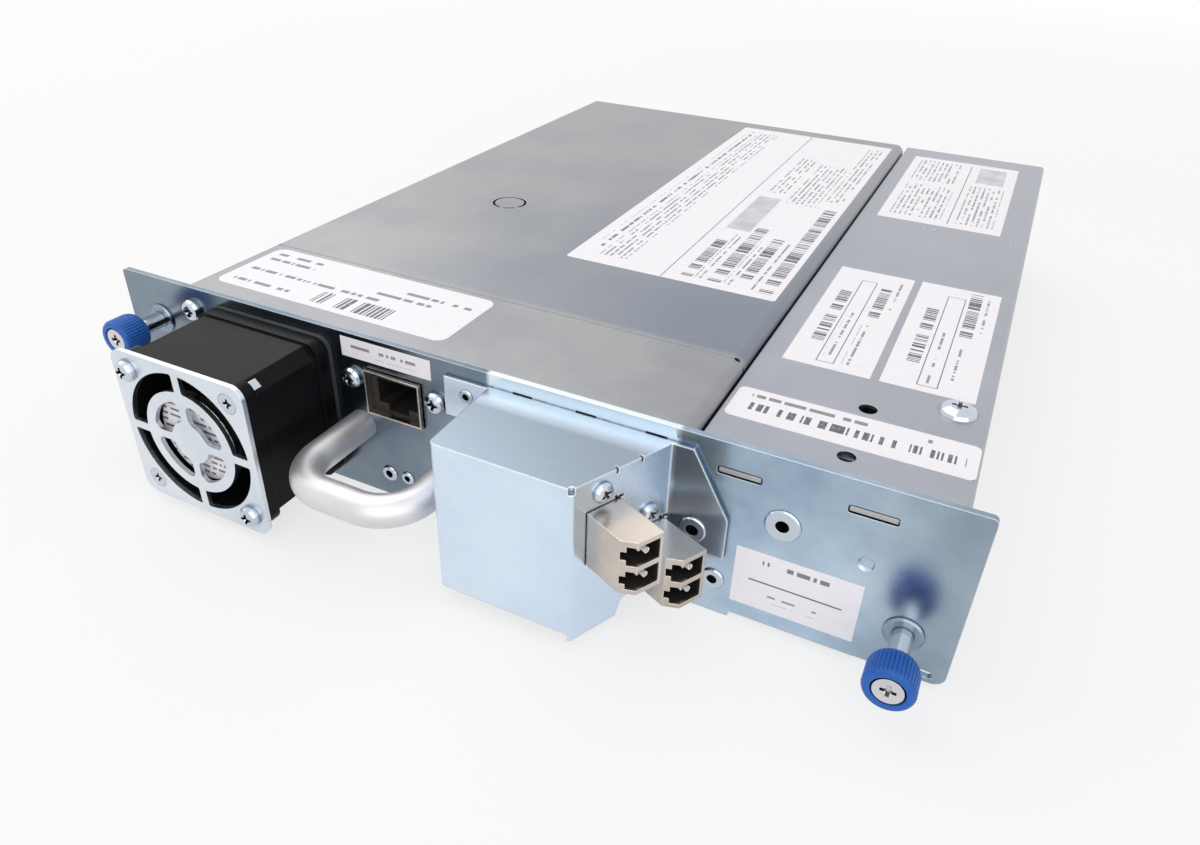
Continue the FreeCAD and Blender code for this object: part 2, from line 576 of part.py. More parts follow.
inner = block(CAST_X0 + CAST_WALL, CAST_X1 - CAST_WALL, CAST_Y0 + CAST_WALL, CAST_Y1 - CAST_WALL,
              CAVITY_Z, CAST_Z1 + 1)
upright = [edge for edge in inner.Edges if abs(edge.tangentAt(0).z) > 0.9]
inner = inner.makeFillet(5.0, upright)
casting = block(CAST_X0, CAST_X1, CAST_Y0, CAST_Y1, CAST_Z0, CAST_Z1)
upright = [edge for edge in casting.Edges if abs(edge.tangentAt(0).z) > 0.9]
casting = casting.makeFillet(2.0, upright).cut(inner)

# posts that carry the cover, with their screw holes, and ribs to the walls
COVER_POST_D = 8.0
POST_IN = 9.0                            # from the casting's outer faces
COVER_POSTS = ((CAST_X0 + POST_IN, CAST_Y0 + POST_IN), (CAST_X1 - POST_IN, CAST_Y0 + POST_IN),
               (CAST_X0 + POST_IN, CARRIAGE_Y0 + CARRIAGE_PAST), (CAST_X1 - POST_IN, CLUTCH_Y))
post_h = TOP - SHEET - CAVITY_Z
posts = [rod(COVER_POST_D, V(x, y, CAVITY_Z - 0.5), Z, post_h + 0.5) for x, y in COVER_POSTS]
PIN_D = 3.0                              # roller axles and head guide posts
WINDOW_Z = MOUTH_Z - 2.0
DOOR_ROOM = 2.5                          # door hinge room at each side of the mouth
window = block(DRIVE_MID - MOUTH_W / 2 - DOOR_ROOM, DRIVE_MID + MOUTH_W / 2 + DOOR_ROOM,
               CAST_Y1 - CAST_WALL - 6, CAST_Y1 + 1, WINDOW_Z, CAST_Z1 + 1)
RIB_T, RIB_H = 1.6, 6.0
ribs = [block(x - RIB_T / 2, x + RIB_T / 2, REEL_Y + REEL_D / 2 + 4, CAST_Y1 - CAST_WALL, CAVITY_Z - 0.5,
              CAVITY_Z + RIB_H) for x in (DRIVE_MID - 40, DRIVE_MID + 40)]
casting = fuse(casting, *(posts + ribs))
side_taps = [rod(M3 - 0.4, V(x, y, TOP - SIDE_SCREW_DROP), X, CAST_WALL + 2)
             for x in (CAST_X0 - 1, CAST_X1 - CAST_WALL - 1) for y in side_ys]
BACK_PORT = (40.0, 12.0)                 # width and height of the rear connector's opening
port_x0 = DRIVE_MID - BACK_PORT[0] / 2
port_z0 = CAVITY_Z + 4
back_port = block(port_x0, port_x0 + BACK_PORT[0], CAST_Y0 - 1, CAST_Y0 + CAST_WALL + 1,
                  port_z0, port_z0 + BACK_PORT[1])
post_taps = [rod(M3 - 0.6, V(x, y, TOP - SHEET - 8), Z, 9) for x, y in COVER_POSTS]
foot_taps = [rod(M3 + 0.4, V(x, y, CAST_Z0 - 1), Z, CAST_FLOOR + 2) for x, y in foot_spots]
casting = cut(casting, window, back_port, *(side_taps + post_taps + foot_taps + foot_tools))

foot_screws = [flush_screw(V(x, y, 0), -Z, M3, FOOT_SINK, CAST_FLOOR + SHEET) for x, y in foot_spots]
LOW_HEAD_H = 0.9                         # low heads, under the library's side rail
side_screws = [pan_screw(V(DRIVE_X0, y, TOP - SIDE_SCREW_DROP), -X, M3 - 0.5, HEAD_M3 - 0.6, LOW_HEAD_H, 3.2)
               for y in side_ys]

# ---------------------------------------------------------------- mouth and door

bezel_y0 = CAST_Y1
bezel_y1 = CAST_Y1 + BEZEL_D
bezel_z1 = TOP - BEZEL_DROP
mouth_x0 = DRIVE_MID - MOUTH_W / 2
mouth_x1 = DRIVE_MID + MOUTH_W / 2
mouth_z1 = MOUTH_Z + MOUTH_H
bezel_corners = [V(CAST_X0, bezel_y0, CAST_Z0), V(CAST_X1, bezel_y0, CAST_Z0),
                 V(CAST_X1, bezel_y0, bezel_z1), V(CAST_X0, bezel_y0, bezel_z1)]
bezel = prism(bezel_corners, 1.5, V(0, BEZEL_D, 0))
LEAD_IN = 2.0
MOUTH_R = 1.5


def mouth_wire(y, grow):
    """Outline of the mouth at y, larger than its throat by grow on each side."""
    return outline([V(mouth_x0 - grow, y, MOUTH_Z - grow), V(mouth_x1 + grow, y, MOUTH_Z - grow),
                    V(mouth_x1 + grow, y, mouth_z1 + grow), V(mouth_x0 - grow, y, mouth_z1 + grow)], MOUTH_R)


throat = Part.Face(mouth_wire(bezel_y0 - 1, 0)).extrude(V(0, BEZEL_D + 2, 0))
flare = Part.makeLoft([mouth_wire(bezel_y1 - LEAD_IN, 0), mouth_wire(bezel_y1 + 0.1, LEAD_IN)], True, True)
hollow = block(CAST_X0 + 3, CAST_X1 - 3, bezel_y0 - 1, bezel_y1 - 3, CAST_Z0 + 2, MOUTH_Z - LEAD_IN - 1.5)
bezel = cut(bezel, throat, flare, hollow)

# two ears on the back of the mouth hold the door's pins
DOOR_T = 1.2
DOOR_PIN = 2.0
door_y = bezel_y0 - 1.9
door_z = mouth_z1 + 1.2
door_x0 = mouth_x0 + 0.6
door_x1 = mouth_x1 - 0.6
EAR_T = 1.6
ears = []
for x0 in (mouth_x0 - EAR_T, mouth_x1):
    ear_face = [V(x0, bezel_y0, door_z - 2.0), V(x0, bezel_y0, door_z + 2.0),
                V(x0, door_y - 1.9, door_z + 2.0), V(x0, door_y - 1.9, door_z - 2.0)]
    one = prism(ear_face, [0, 0, 1.8, 1.8], V(EAR_T, 0, 0))
    ears.append(cut(one, rod(DOOR_PIN + 2 * RUN, V(x0 - 1, door_y, door_z), X, EAR_T + 2)))
bezel = fuse(bezel, *ears)

flap_low = MOUTH_Z + 0.4
door_spine = rod(DOOR_PIN + 0.8, V(door_x0, door_y, door_z), X, door_x1 - door_x0)
door_pins = rod(DOOR_PIN, V(mouth_x0 - EAR_T, door_y, door_z), X, mouth_x1 - mouth_x0 + 2 * EAR_T)
door_plate = block(door_x0, door_x1, door_y - DOOR_T / 2, door_y + DOOR_T / 2, flap_low, door_z)
door_rib = block(door_x0 + 6, door_x1 - 6, door_y + DOOR_T / 2 - 0.1, door_y + DOOR_T / 2 + 0.4,
                 flap_low + 2, flap_low + 4)
cartridge_door = fuse(door_spine, door_pins, door_plate, door_rib)

# ---------------------------------------------------------------- take-up reel

reel_z0 = TAPE_Z - TAPE_W / 2 - 0.3 - FLANGE_T
reel_z1 = TAPE_Z + TAPE_W / 2 + 0.3 + FLANGE_T
SPINDLE_D = 6.0
reel_profile = [(SPINDLE_D / 2 + RUN, reel_z0 - 1.0), (10.0, reel_z0 - 1.0), (10.0, reel_z0),
                (REEL_D / 2, reel_z0), (REEL_D / 2, reel_z0 + FLANGE_T), (CORE_D / 2, reel_z0 + FLANGE_T),
                (CORE_D / 2, reel_z1 - FLANGE_T), (REEL_D / 2, reel_z1 - FLANGE_T), (REEL_D / 2, reel_z1),
                (14.0, reel_z1), (12.5, reel_z1 - 2.0), (SPINDLE_D / 2 + RUN, reel_z1 - 2.0)]
reel = turned(reel_profile, V(REEL_X, REEL_Y, 0), Z)
REEL_WINDOWS = 6
WINDOW_D = 11.0
window_r = (CORE_D + REEL_D) / 4 - 3.0
reel_cuts = []
for i in range(REEL_WINDOWS):
    hole = rod(WINDOW_D, V(REEL_X + window_r, REEL_Y, reel_z0 - 1), Z, reel_z1 - reel_z0 + 2)
    hole.rotate(V(REEL_X, REEL_Y, 0), Z, i * 360 / REEL_WINDOWS)
    reel_cuts.append(hole)
leader_slot = block(REEL_X + CORE_D / 2 - 4, REEL_X + CORE_D / 2 + 1, REEL_Y - 1.5, REEL_Y + 1.5,
                    reel_z0 + FLANGE_T, reel_z1 - FLANGE_T)
takeup_reel = cut(reel, leader_slot, *reel_cuts)

MOTOR_D = 42.0
motor_z1 = reel_z0 - 1.4
MOTOR_EDGE = 2.0
motor_can = [(0, CAVITY_Z), (MOTOR_D / 2, CAVITY_Z), (MOTOR_D / 2, motor_z1 - MOTOR_EDGE),
             (MOTOR_D / 2 - MOTOR_EDGE, motor_z1), (SPINDLE_D / 2, motor_z1), (SPINDLE_D / 2, reel_z1 - 0.5),
             (SPINDLE_D / 2 - 0.8, reel_z1), (0, reel_z1)]
takeup_motor = turned(motor_can, V(REEL_X, REEL_Y, 0), Z)

# ---------------------------------------------------------------- cartridge drive

CARRIAGE_Z = MOUTH_Z - 1.2
clutch_z1 = CARRIAGE_Z - 0.6
CLUTCH_MOTOR_H = 3.0
clutch_z0 = CAVITY_Z + CLUTCH_MOTOR_H + 0.5
clutch_profile = [(SPINDLE_D / 2 + RUN, clutch_z0), (CLUTCH_D / 2 - 3, clutch_z0),
                  (CLUTCH_D / 2, clutch_z0 + 1.2),
                  (CLUTCH_D / 2, clutch_z1 - 1.2), (CLUTCH_D / 2 - 5, clutch_z1 - 1.2),
                  (CLUTCH_D / 2 - 5, clutch_z1 - 2.0), (SPINDLE_D / 2 + RUN, clutch_z1 - 2.0)]
clutch = turned(clutch_profile, V(DRIVE_MID, CLUTCH_Y, 0), Z)
CLUTCH_TEETH = 24
tooth_angle = pi / CLUTCH_TEETH
teeth = []
for i in range(CLUTCH_TEETH):
    r0, r1 = CLUTCH_D / 2 - 4.6, CLUTCH_D / 2 - 0.4
    half0, half1 = r0 * tan(tooth_angle) * 0.9, r1 * tan(tooth_angle) * 0.9
    foot = Part.makePolygon([V(r0, -half0, clutch_z1 - 1.4), V(r1, -half1, clutch_z1 - 1.4),
                             V(r1, half1, clutch_z1 - 1.4), V(r0, half0, clutch_z1 - 1.4),
                             V(r0, -half0, clutch_z1 - 1.4)])
    tip = Part.makePolygon([V(r0, -half0 * 0.35, clutch_z1), V(r1, -half1 * 0.35, clutch_z1),
                            V(r1, half1 * 0.35, clutch_z1), V(r0, half0 * 0.35, clutch_z1),
                            V(r0, -half0 * 0.35, clutch_z1)])
    tooth = Part.makeLoft([foot, tip], True, True)
    tooth.rotate(V(0, 0, 0), Z, i * 360 / CLUTCH_TEETH)
    tooth.translate(V(DRIVE_MID, CLUTCH_Y, 0))
    teeth.append(tooth)
reel_clutch = fuse(clutch, *teeth)
clutch_motor = turned([(0, CAVITY_Z), (CLUTCH_D / 2, CAVITY_Z), (CLUTCH_D / 2, CAVITY_Z + CLUTCH_MOTOR_H),
                       (SPINDLE_D / 2, CAVITY_Z + CLUTCH_MOTOR_H), (SPINDLE_D / 2, clutch_z1 - 1.6),
                       (0, clutch_z1 - 1.6)], V(DRIVE_MID, CLUTCH_Y, 0), Z)

# carriage that brings the cartridge in, on two rails of the casting
CARRIAGE_WALL = 12.0
carriage_x0 = DRIVE_MID - CART_W / 2 - 1.0 - SHEET
carriage_x1 = DRIVE_MID + CART_W / 2 + 1.0 + SHEET
carriage_z1 = CARRIAGE_Z + CARRIAGE_WALL
carriage_path = [V(carriage_x0, CARRIAGE_Y0, carriage_z1), V(carriage_x0, CARRIAGE_Y0, CARRIAGE_Z),
                 V(carriage_x1, CARRIAGE_Y0, CARRIAGE_Z), V(carriage_x1, CARRIAGE_Y0, carriage_z1)]
carriage = bent(carriage_path[::-1], SHEET, FOLD, V(0, CARRIAGE_Y1 - CARRIAGE_Y0, 0))
STOP_W = 40.0
stop = block(DRIVE_MID - STOP_W / 2, DRIVE_MID + STOP_W / 2, CARRIAGE_Y0, CARRIAGE_Y0 + SHEET,
             CARRIAGE_Z + SHEET - 0.2, carriage_z1)
HUB_SLOT, HUB_SLOT_R = 44.0, 8.0
hub_x0, hub_x1 = DRIVE_MID - HUB_SLOT / 2, DRIVE_MID + HUB_SLOT / 2
hub_y0 = CLUTCH_Y - CLUTCH_D / 2 - 3
hub_slot = prism([V(hub_x0, hub_y0, CARRIAGE_Z - 1), V(hub_x1, hub_y0, CARRIAGE_Z - 1),
                  V(hub_x1, CARRIAGE_Y1 + 1, CARRIAGE_Z - 1), V(hub_x0, CARRIAGE_Y1 + 1, CARRIAGE_Z - 1)],
                 [HUB_SLOT_R, HUB_SLOT_R, 0, 0], V(0, 0, SHEET + 2))
cartridge_carriage = cut(fuse(carriage, stop), hub_slot)

# the casting is open along the carriage's way, and its rails stand below it
RAIL = 5.0
CARRIAGE_ROOM = 0.5                      # beside the carriage
carriage_way = block(carriage_x0 - CARRIAGE_ROOM, carriage_x1 + CARRIAGE_ROOM, CARRIAGE_Y0 - CARRIAGE_ROOM,
                     CARRIAGE_Y1 + CARRIAGE_TRAVEL, CARRIAGE_Z, TOP)
rails = [block(x - RAIL / 2, x + RAIL / 2, CARRIAGE_Y0 - 2, CARRIAGE_Y1 + CARRIAGE_TRAVEL + 2, CAVITY_Z,
               CARRIAGE_Z) for x in (carriage_x0 + RAIL / 2 + SHEET, carriage_x1 - RAIL / 2 - SHEET)]
casting = fuse(cut(casting, carriage_way), *rails)

# ---------------------------------------------------------------- tape path

ROLLER_FLANGE = 0.8
roller_h = TAPE_W / 2 + 0.3
roller_end = roller_h + ROLLER_FLANGE
roller_r, flange_r, roller_bore_r = ROLLER_D / 2, ROLLER_D / 2 + 1.0, PIN_D / 2 + RUN
roller_profile = [(roller_bore_r, -roller_end), (flange_r, -roller_end), (flange_r, -roller_h),
                  (roller_r, -roller_h), (roller_r, roller_h), (flange_r, roller_h),
                  (flange_r, roller_end), (roller_bore_r, roller_end)]
roller_nodes = {}
axles = []
AXLE_SEAT_D = 7.0
axle_top = TAPE_Z + roller_end + 1.5
seat_z = TAPE_Z - roller_end - FIT
axle_profile = [(0, CAVITY_Z), (AXLE_SEAT_D / 2 + 1, CAVITY_Z), (AXLE_SEAT_D / 2, seat_z), (PIN_D / 2, seat_z),
                (PIN_D / 2, axle_top), (0, axle_top)]
for i, (x, y) in enumerate(ROLLERS):
    roller_nodes["tape_roller_%d" % (i + 1)] = turned(roller_profile, V(x, y, TAPE_Z), Z)
    axles.append(turned(axle_profile, V(x, y, 0), Z))

HEAD_X, HEAD_Y = ROLLERS[1][0], REEL_Y + HEAD_PAST
HEAD_TRAVEL = 3.0
GUIDE_PITCH = 8.0
guide_ys = (HEAD_Y - GUIDE_PITCH / 2, HEAD_Y + GUIDE_PITCH / 2)
TAPE_HEAD_H = 12.0
HEAD_L, HEAD_FACE_L, HEAD_BACK = 15.0, 6.0, 5.0
head_z0 = TAPE_Z - TAPE_HEAD_H / 2
roller_line = ROLLERS[1][0] + ROLLER_D / 2
head_x0 = HEAD_X - HEAD_BACK
head_points = [V(head_x0, HEAD_Y - HEAD_L / 2, head_z0), V(roller_line - 1, HEAD_Y - HEAD_L / 2, head_z0),
               V(roller_line + 0.4, HEAD_Y - HEAD_FACE_L / 2, head_z0),
               V(roller_line + 0.4, HEAD_Y + HEAD_FACE_L / 2, head_z0),
               V(roller_line - 1, HEAD_Y + HEAD_L / 2, head_z0), V(head_x0, HEAD_Y + HEAD_L / 2, head_z0)]
head_body = prism(head_points, 0.8, V(0, 0, TAPE_HEAD_H))
head_grooves = [block(roller_line - 0.4, roller_line + 1, HEAD_Y + dy - 0.4, HEAD_Y + dy + 0.4,
                      TAPE_Z - TAPE_HEAD_H, TAPE_Z + TAPE_HEAD_H) for dy in (-1.6, 1.6)]
guide_bores = [rod(PIN_D + 2 * RUN, V(HEAD_X, y, head_z0 - 1), Z, TAPE_HEAD_H + 2) for y in guide_ys]
head_carriage = cut(head_body, *(head_grooves + guide_bores))

ACTUATOR_W, ACTUATOR_L = 11.0, 18.0
actuator_x1 = head_x0 - 0.8
actuator_x0 = actuator_x1 - ACTUATOR_W
actuator_y0, actuator_y1 = HEAD_Y - ACTUATOR_L / 2, HEAD_Y + ACTUATOR_L / 2
actuator_z1 = TAPE_Z + TAPE_HEAD_H / 2 + HEAD_TRAVEL + 2
actuator_block = prism([V(actuator_x0, actuator_y0, CAVITY_Z), V(actuator_x1, actuator_y0, CAVITY_Z),
                        V(actuator_x1, actuator_y1, CAVITY_Z), V(actuator_x0, actuator_y1, CAVITY_Z)],
                       1.5, V(0, 0, actuator_z1 - CAVITY_Z))
head_foot = block(actuator_x1 - 1, HEAD_X + 4, HEAD_Y - 7, HEAD_Y + 7, CAVITY_Z,
                  TAPE_Z - TAPE_HEAD_H / 2 - HEAD_TRAVEL - FIT)
guide_posts = [rod(PIN_D, V(HEAD_X, y, CAVITY_Z + 1), Z, actuator_z1 - CAVITY_Z - 1) for y in guide_ys]
head_actuator = fuse(actuator_block, head_foot, *guide_posts)

# ---------------------------------------------------------------- drive electronics

BOARD_T = 1.6
board_z0 = 39.4
board_y0 = CAST_Y0 + CAST_WALL + 1
board_y1 = REEL_Y + REEL_D / 2 - 2
board_x0 = CAST_X0 + CAST_WALL + 1
board_x1 = ROLLERS[3][0] - ROLLER_D / 2 - 4
board = prism([V(board_x0, board_y0, board_z0), V(board_x1, board_y0, board_z0),
               V(board_x1, board_y1, board_z0), V(board_x0, board_y1, board_z0)], 4.0, V(0, 0, BOARD_T))
post_x, post_y = COVER_POSTS[0]
board = cut(board, rod(COVER_POST_D + 1.0, V(post_x, post_y, board_z0 - 1), Z, BOARD_T + 2))
# chips: share of the free board across and along, size, height
DRIVE_CHIPS = ((0.22, 0.38, 20, 1.8), (0.61, 0.26, 14, 1.6), (0.86, 0.35, 12, 1.6), (0.38, 0.83, 14, 2.0),
               (0.88, 0.85, 18, 2.2))
chips = []
for across, along, size, height in DRIVE_CHIPS:
    x = board_x0 + across * (board_x1 - board_x0 - size)
    y = board_y0 + along * (board_y1 - board_y0 - size)
    chips.append(block(x, x + size, y, y + size, board_z0 + BOARD_T, board_z0 + BOARD_T + height))
# the board hangs on lugs of the casting's side and rear walls
LUG = 3.0
LUG_L, LUG_IN = 8.0, 20.0
lugs = [block(board_x0 - 1.5, board_x0 + LUG, y, y + LUG_L, board_z0 - LUG, board_z0)
        for y in (board_y0 + LUG_IN, board_y1 - LUG_IN - LUG_L)]
lugs += [block(x, x + LUG_L, CAST_Y0 + CAST_WALL - 0.5, board_y0 + LUG, board_z0 - LUG, board_z0)
         for x in (board_x0 + 1.5 * LUG_IN, board_x1 - LUG_IN)]
casting = fuse(casting, *lugs)

connector = block(port_x0 + 0.4, port_x0 + BACK_PORT[0] - 0.4, CAST_Y0 - 6, CAST_Y0 + CAST_WALL + 3,
                  port_z0 + 0.4, port_z0 + BACK_PORT[1])
connector_mouth = block(port_x0 + 2.4, port_x0 + BACK_PORT[0] - 2.4, CAST_Y0 - 7, CAST_Y0 + 1,
                        port_z0 + BACK_PORT[1] / 2 - 1.5, port_z0 + BACK_PORT[1] / 2 + 1.8)
connector_seat = block(port_x0 + 2, port_x0 + BACK_PORT[0] - 2, CAST_Y0 + CAST_WALL,
                       CAST_Y0 + CAST_WALL + 3, CAVITY_Z, port_z0 + 0.5)
drive_connector = cut(fuse(connector, connector_seat), connector_mouth)

# ---------------------------------------------------------------- fan

fan_front = -GASKET - FAN_D


def fan_square(y0, depth, size=FAN):
    h = size / 2
    corners = [V(FAN_X - h, y0, fan_z - h), V(FAN_X + h, y0, fan_z - h), V(FAN_X + h, y0, fan_z + h),
               V(FAN_X - h, y0, fan_z + h)]
    return prism(corners, (FAN - FAN_HOLES) / 2 - 0.4, V(0, depth, 0))


fan_bore = rod(FAN_BORE, V(FAN_X, fan_front - 1, fan_z), Y, FAN_D + 2)
fan_holes = [rod(M3 + 0.4, V(spot.x, fan_front - 3, spot.z), Y, FAN_D + 6) for spot in fan_spots]
half_body = FAN / 2 - FAN_STEP
body_corners = [V(FAN_X + a * half_body, fan_front, fan_z + b * half_body)
                for a, b in ((-1, -1), (1, -1), (1, 1), (-1, 1))]
barrel = Part.Face(Part.makePolygon(body_corners + body_corners[:1])).extrude(V(0, FAN_D, 0))
long_edges = [edge for edge in barrel.Edges if abs(edge.Length - FAN_D) < 1e-6]
barrel = barrel.makeChamfer(FAN_BEVEL, long_edges)
flanges = [fan_square(fan_front, FAN_FLANGE), fan_square(-GASKET - FAN_FLANGE, FAN_FLANGE)]
# motor seat on four slanted arms at the panel side
SEAT_T = 2.2
ARM_W = 2.0
fan_shell = cut(fuse(barrel, *flanges), fan_bore, *fan_holes)
seat = rod(2 * HUB_R - 1, V(FAN_X, -GASKET - SEAT_T, fan_z), Y, SEAT_T)
arms = []
for i in range(4):
    arm = block(FAN_X - ARM_W / 2, FAN_X + ARM_W / 2, -GASKET - SEAT_T, -GASKET, fan_z + HUB_R - 3,
                fan_z + FAN_BORE / 2 + 0.5)
    arm.rotate(V(FAN_X, 0, fan_z), Y, 45 + 90 * i)
    arms.append(arm)
BEARING_D = 5.0
FAN_SHAFT = 2.0
ROTOR_BACK = SEAT_T + 1.0                # rotor rim stands off the motor seat
rotor_front = fan_front + 1.6
rotor_rim = -GASKET - ROTOR_BACK
tube = rod(BEARING_D + 2, V(FAN_X, rotor_front + 5.0, fan_z), Y, -GASKET - rotor_front - 5.0)
tube_bore = rod(BEARING_D, V(FAN_X, rotor_front + 4, fan_z), Y, -GASKET - rotor_front - 4 - 1.0)
fan_frame = cut(fuse(fan_shell, seat, tube, *arms), tube_bore)
fan_bearing = cut(rod(BEARING_D, V(FAN_X, rotor_front + 5.0, fan_z), Y, -GASKET - 1.0 - rotor_front - 5.0),
                  rod(FAN_SHAFT + 2 * RUN, V(FAN_X, rotor_front, fan_z), Y, 40))

# stator: four-pole core with coils, pushed on the bearing tube
STATOR_D = 18.0
core = rod(STATOR_D, V(FAN_X, rotor_front + 6.5, fan_z), Y, rotor_rim - rotor_front - 8.5)
core_slots = []
for i in range(4):
    gap = block(FAN_X - 1.0, FAN_X + 1.0, rotor_front + 5, 0, fan_z + 5.0, fan_z + STATOR_D)
    gap.rotate(V(FAN_X, 0, fan_z), Y, 90 * i)
    core_slots.append(gap)
core_bore = rod(BEARING_D + 2, V(FAN_X, rotor_front + 5, fan_z), Y, 40)
fan_stator = cut(core, core_bore, *core_slots)

# rotor: deep cup, shaft and swept blades with a twist from root to tip
CUP_WALL = 1.6
cup_depth = rotor_rim - rotor_front
cup = turned([(0, 0), (HUB_R - 1.2, 0), (HUB_R, 1.2), (HUB_R, cup_depth), (HUB_R - CUP_WALL, cup_depth),
              (HUB_R - CUP_WALL, 2.0), (BEARING_D / 2, 2.0), (BEARING_D / 2, 3.4), (0, 3.4)],
             V(FAN_X, rotor_front, fan_z), Y)
shaft_l = rotor_rim - rotor_front - 1.5
shaft = rod(FAN_SHAFT, V(FAN_X, rotor_front + 3.0, fan_z), Y, shaft_l - 3.0)


def blade_section(radius, pitch, sweep, chord):
    """One blade section, an arc profile standing at radius from the axis."""
    lean = radians(pitch)
    along = V(0, sin(lean), cos(lean))
    thick = V(0, cos(lean), -sin(lean))
    middle = V(radius, 0, sweep)
    tail = middle - along * (chord / 2)
    nose = middle + along * (chord / 2)
    upper = Part.Arc(tail + thick * 0.2, middle + thick * 1.5, nose + thick * 0.35).toShape()
    lower = Part.Arc(nose - thick * 0.35, middle + thick * 0.6, tail - thick * 0.2).toShape()
    front = Part.makeLine(nose + thick * 0.35, nose - thick * 0.35)
    back = Part.makeLine(tail - thick * 0.2, tail + thick * 0.2)
    return Part.Wire([upper, front, lower, back])


blade_root = HUB_R - 0.7
blade_tip = FAN_BORE / 2 - BLADE_GAP
blade_mid = (blade_root + blade_tip) / 2
BLADE_CHORD = 13.0
one_blade = Part.makeLoft([blade_section(blade_root, 58, 0.0, BLADE_CHORD),
                           blade_section(blade_mid, 50, 0.8, BLADE_CHORD + 1.0),
                           blade_section(blade_tip, 42, 2.2, BLADE_CHORD + 2.0)], True, False)
one_blade = one_blade.common(rod(2 * blade_tip, V(0, -20, 0), Y, 40))
one_blade.translate(V(0, (fan_front - GASKET) / 2 + 0.5, 0))
blades = []
for i in range(BLADES):
    blade = one_blade.copy()
    blade.rotate(V(0, 0, 0), Y, i * 360 / BLADES)
    blade.translate(V(FAN_X, 0, fan_z))
    blades.append(blade)
fan_rotor = cup.fuse([shaft] + blades).removeSplitter()

# finger guard: square plate with ring slots between four spokes
GUARD_OUT = (14.0, 18.9)
GUARD_IN = (5.6, 11.3)
SPOKE = 2.2
guard = fan_square(fan_front - GUARD_T, GUARD_T, GUARD)


def ring_slots(radii, spoke, ease):
    r0, r1 = radii
    depth = 10.0
    y0 = fan_front - GUARD_T / 2 - depth / 2
    y1 = y0 + depth
    ring = rod(2 * r1, V(FAN_X, y0, fan_z), Y, depth).cut(rod(2 * r0, V(FAN_X, y0, fan_z), Y, depth))
    bars = [block(FAN_X - spoke / 2, FAN_X + spoke / 2, y0 - 1, y1 + 1, fan_z - GUARD, fan_z + GUARD),
            block(FAN_X - GUARD, FAN_X + GUARD, y0 - 1, y1 + 1, fan_z - spoke / 2, fan_z + spoke / 2)]
    rounded = []
    for piece in ring.cut(bars).Solids:
        corners = [edge for edge in piece.Edges
                   if abs(edge.Length - depth) < 1e-4 and edge.Curve.TypeId == "Part::GeomLine"]
        rounded.append(piece.makeFillet(ease, corners))
    return rounded


guard_y = fan_front - GUARD_T
FAN_SINK = HEAD_M3 - 0.4                 # countersunk heads in the guard
guard_holes = [rod(M3 + 0.3, V(spot.x, guard_y - 1, spot.z), Y, GUARD_T + 2) for spot in fan_spots]
sunk = [spot for spot in fan_spots if (spot.x > FAN_X) == (spot.z > fan_z)]    # two opposite corners
for spot in sunk:
    guard_holes.append(sink_tool(V(spot.x, guard_y, spot.z), -Y, M3, FAN_SINK, GUARD_T + 2))
slots = ring_slots(GUARD_OUT, SPOKE, 0.5) + ring_slots(GUARD_IN, SPOKE, 1.8)
fan_guard = cut(guard, *(slots + guard_holes))
# a countersunk hole is deeper than the plate, so the fan's flange is sunk too
fan_sinks = [sink_tool(V(spot.x, guard_y, spot.z), -Y, M3, FAN_SINK, GUARD_T + 3) for spot in sunk]
fan_frame = cut(fan_frame, *fan_sinks)

gasket_ring = fan_square(-GASKET, GASKET)
fan_gasket = cut(gasket_ring, rod(FAN_BORE, V(FAN_X, -GASKET - 1, fan_z), Y, GASKET + 2),
                 *[rod(M3 + 0.4, V(spot.x, -GASKET - 1, spot.z), Y, GASKET + 2) for spot in fan_spots])
fan_screw_l = GUARD_T + FAN_D + GASKET + PANEL_T
fan_screws = []
for spot in fan_spots:
    start = V(spot.x, guard_y, spot.z)
    if spot in sunk:
        fan_screws.append(flush_screw(start, -Y, M3 - 0.4, FAN_SINK, fan_screw_l))
    else:
        fan_screws.append(pan_screw(start, -Y, M3 - 0.4, HEAD_M3, HEAD_H, fan_screw_l))

# ---------------------------------------------------------------- handle

left_leg, right_leg = handle_legs
grip = -HANDLE_REACH
disc = Part.Face(Part.Wire([Part.makeCircle(ROD_D / 2, V(left_leg, 0, handle_z), Y)]))
leg = disc.extrude(V(0, grip + HANDLE_BEND, 0))
disc.translate(V(0, grip + HANDLE_BEND, 0))
bend = disc.revolve(V(left_leg + HANDLE_BEND, grip + HANDLE_BEND, handle_z), Z, 90)
half_grip = rod(ROD_D, V(left_leg + HANDLE_BEND, grip, handle_z), X, HANDLE_SPAN / 2 - HANDLE_BEND)
half = fuse(leg, bend, half_grip)
handle = fuse(half, half.mirror(V((left_leg + right_leg) / 2, 0, 0), X))
handle = cut(handle, *[rod(HANDLE_SCREW - 0.2, V(x, -10, handle_z), Y, 11) for x in handle_legs])
handle_screws = [pan_screw(V(x, PANEL_T, handle_z), Y, HANDLE_SCREW - 0.4, 7.0, 2.6, PANEL_T + 9)
                 for x in handle_legs]

# ---------------------------------------------------------------- network port

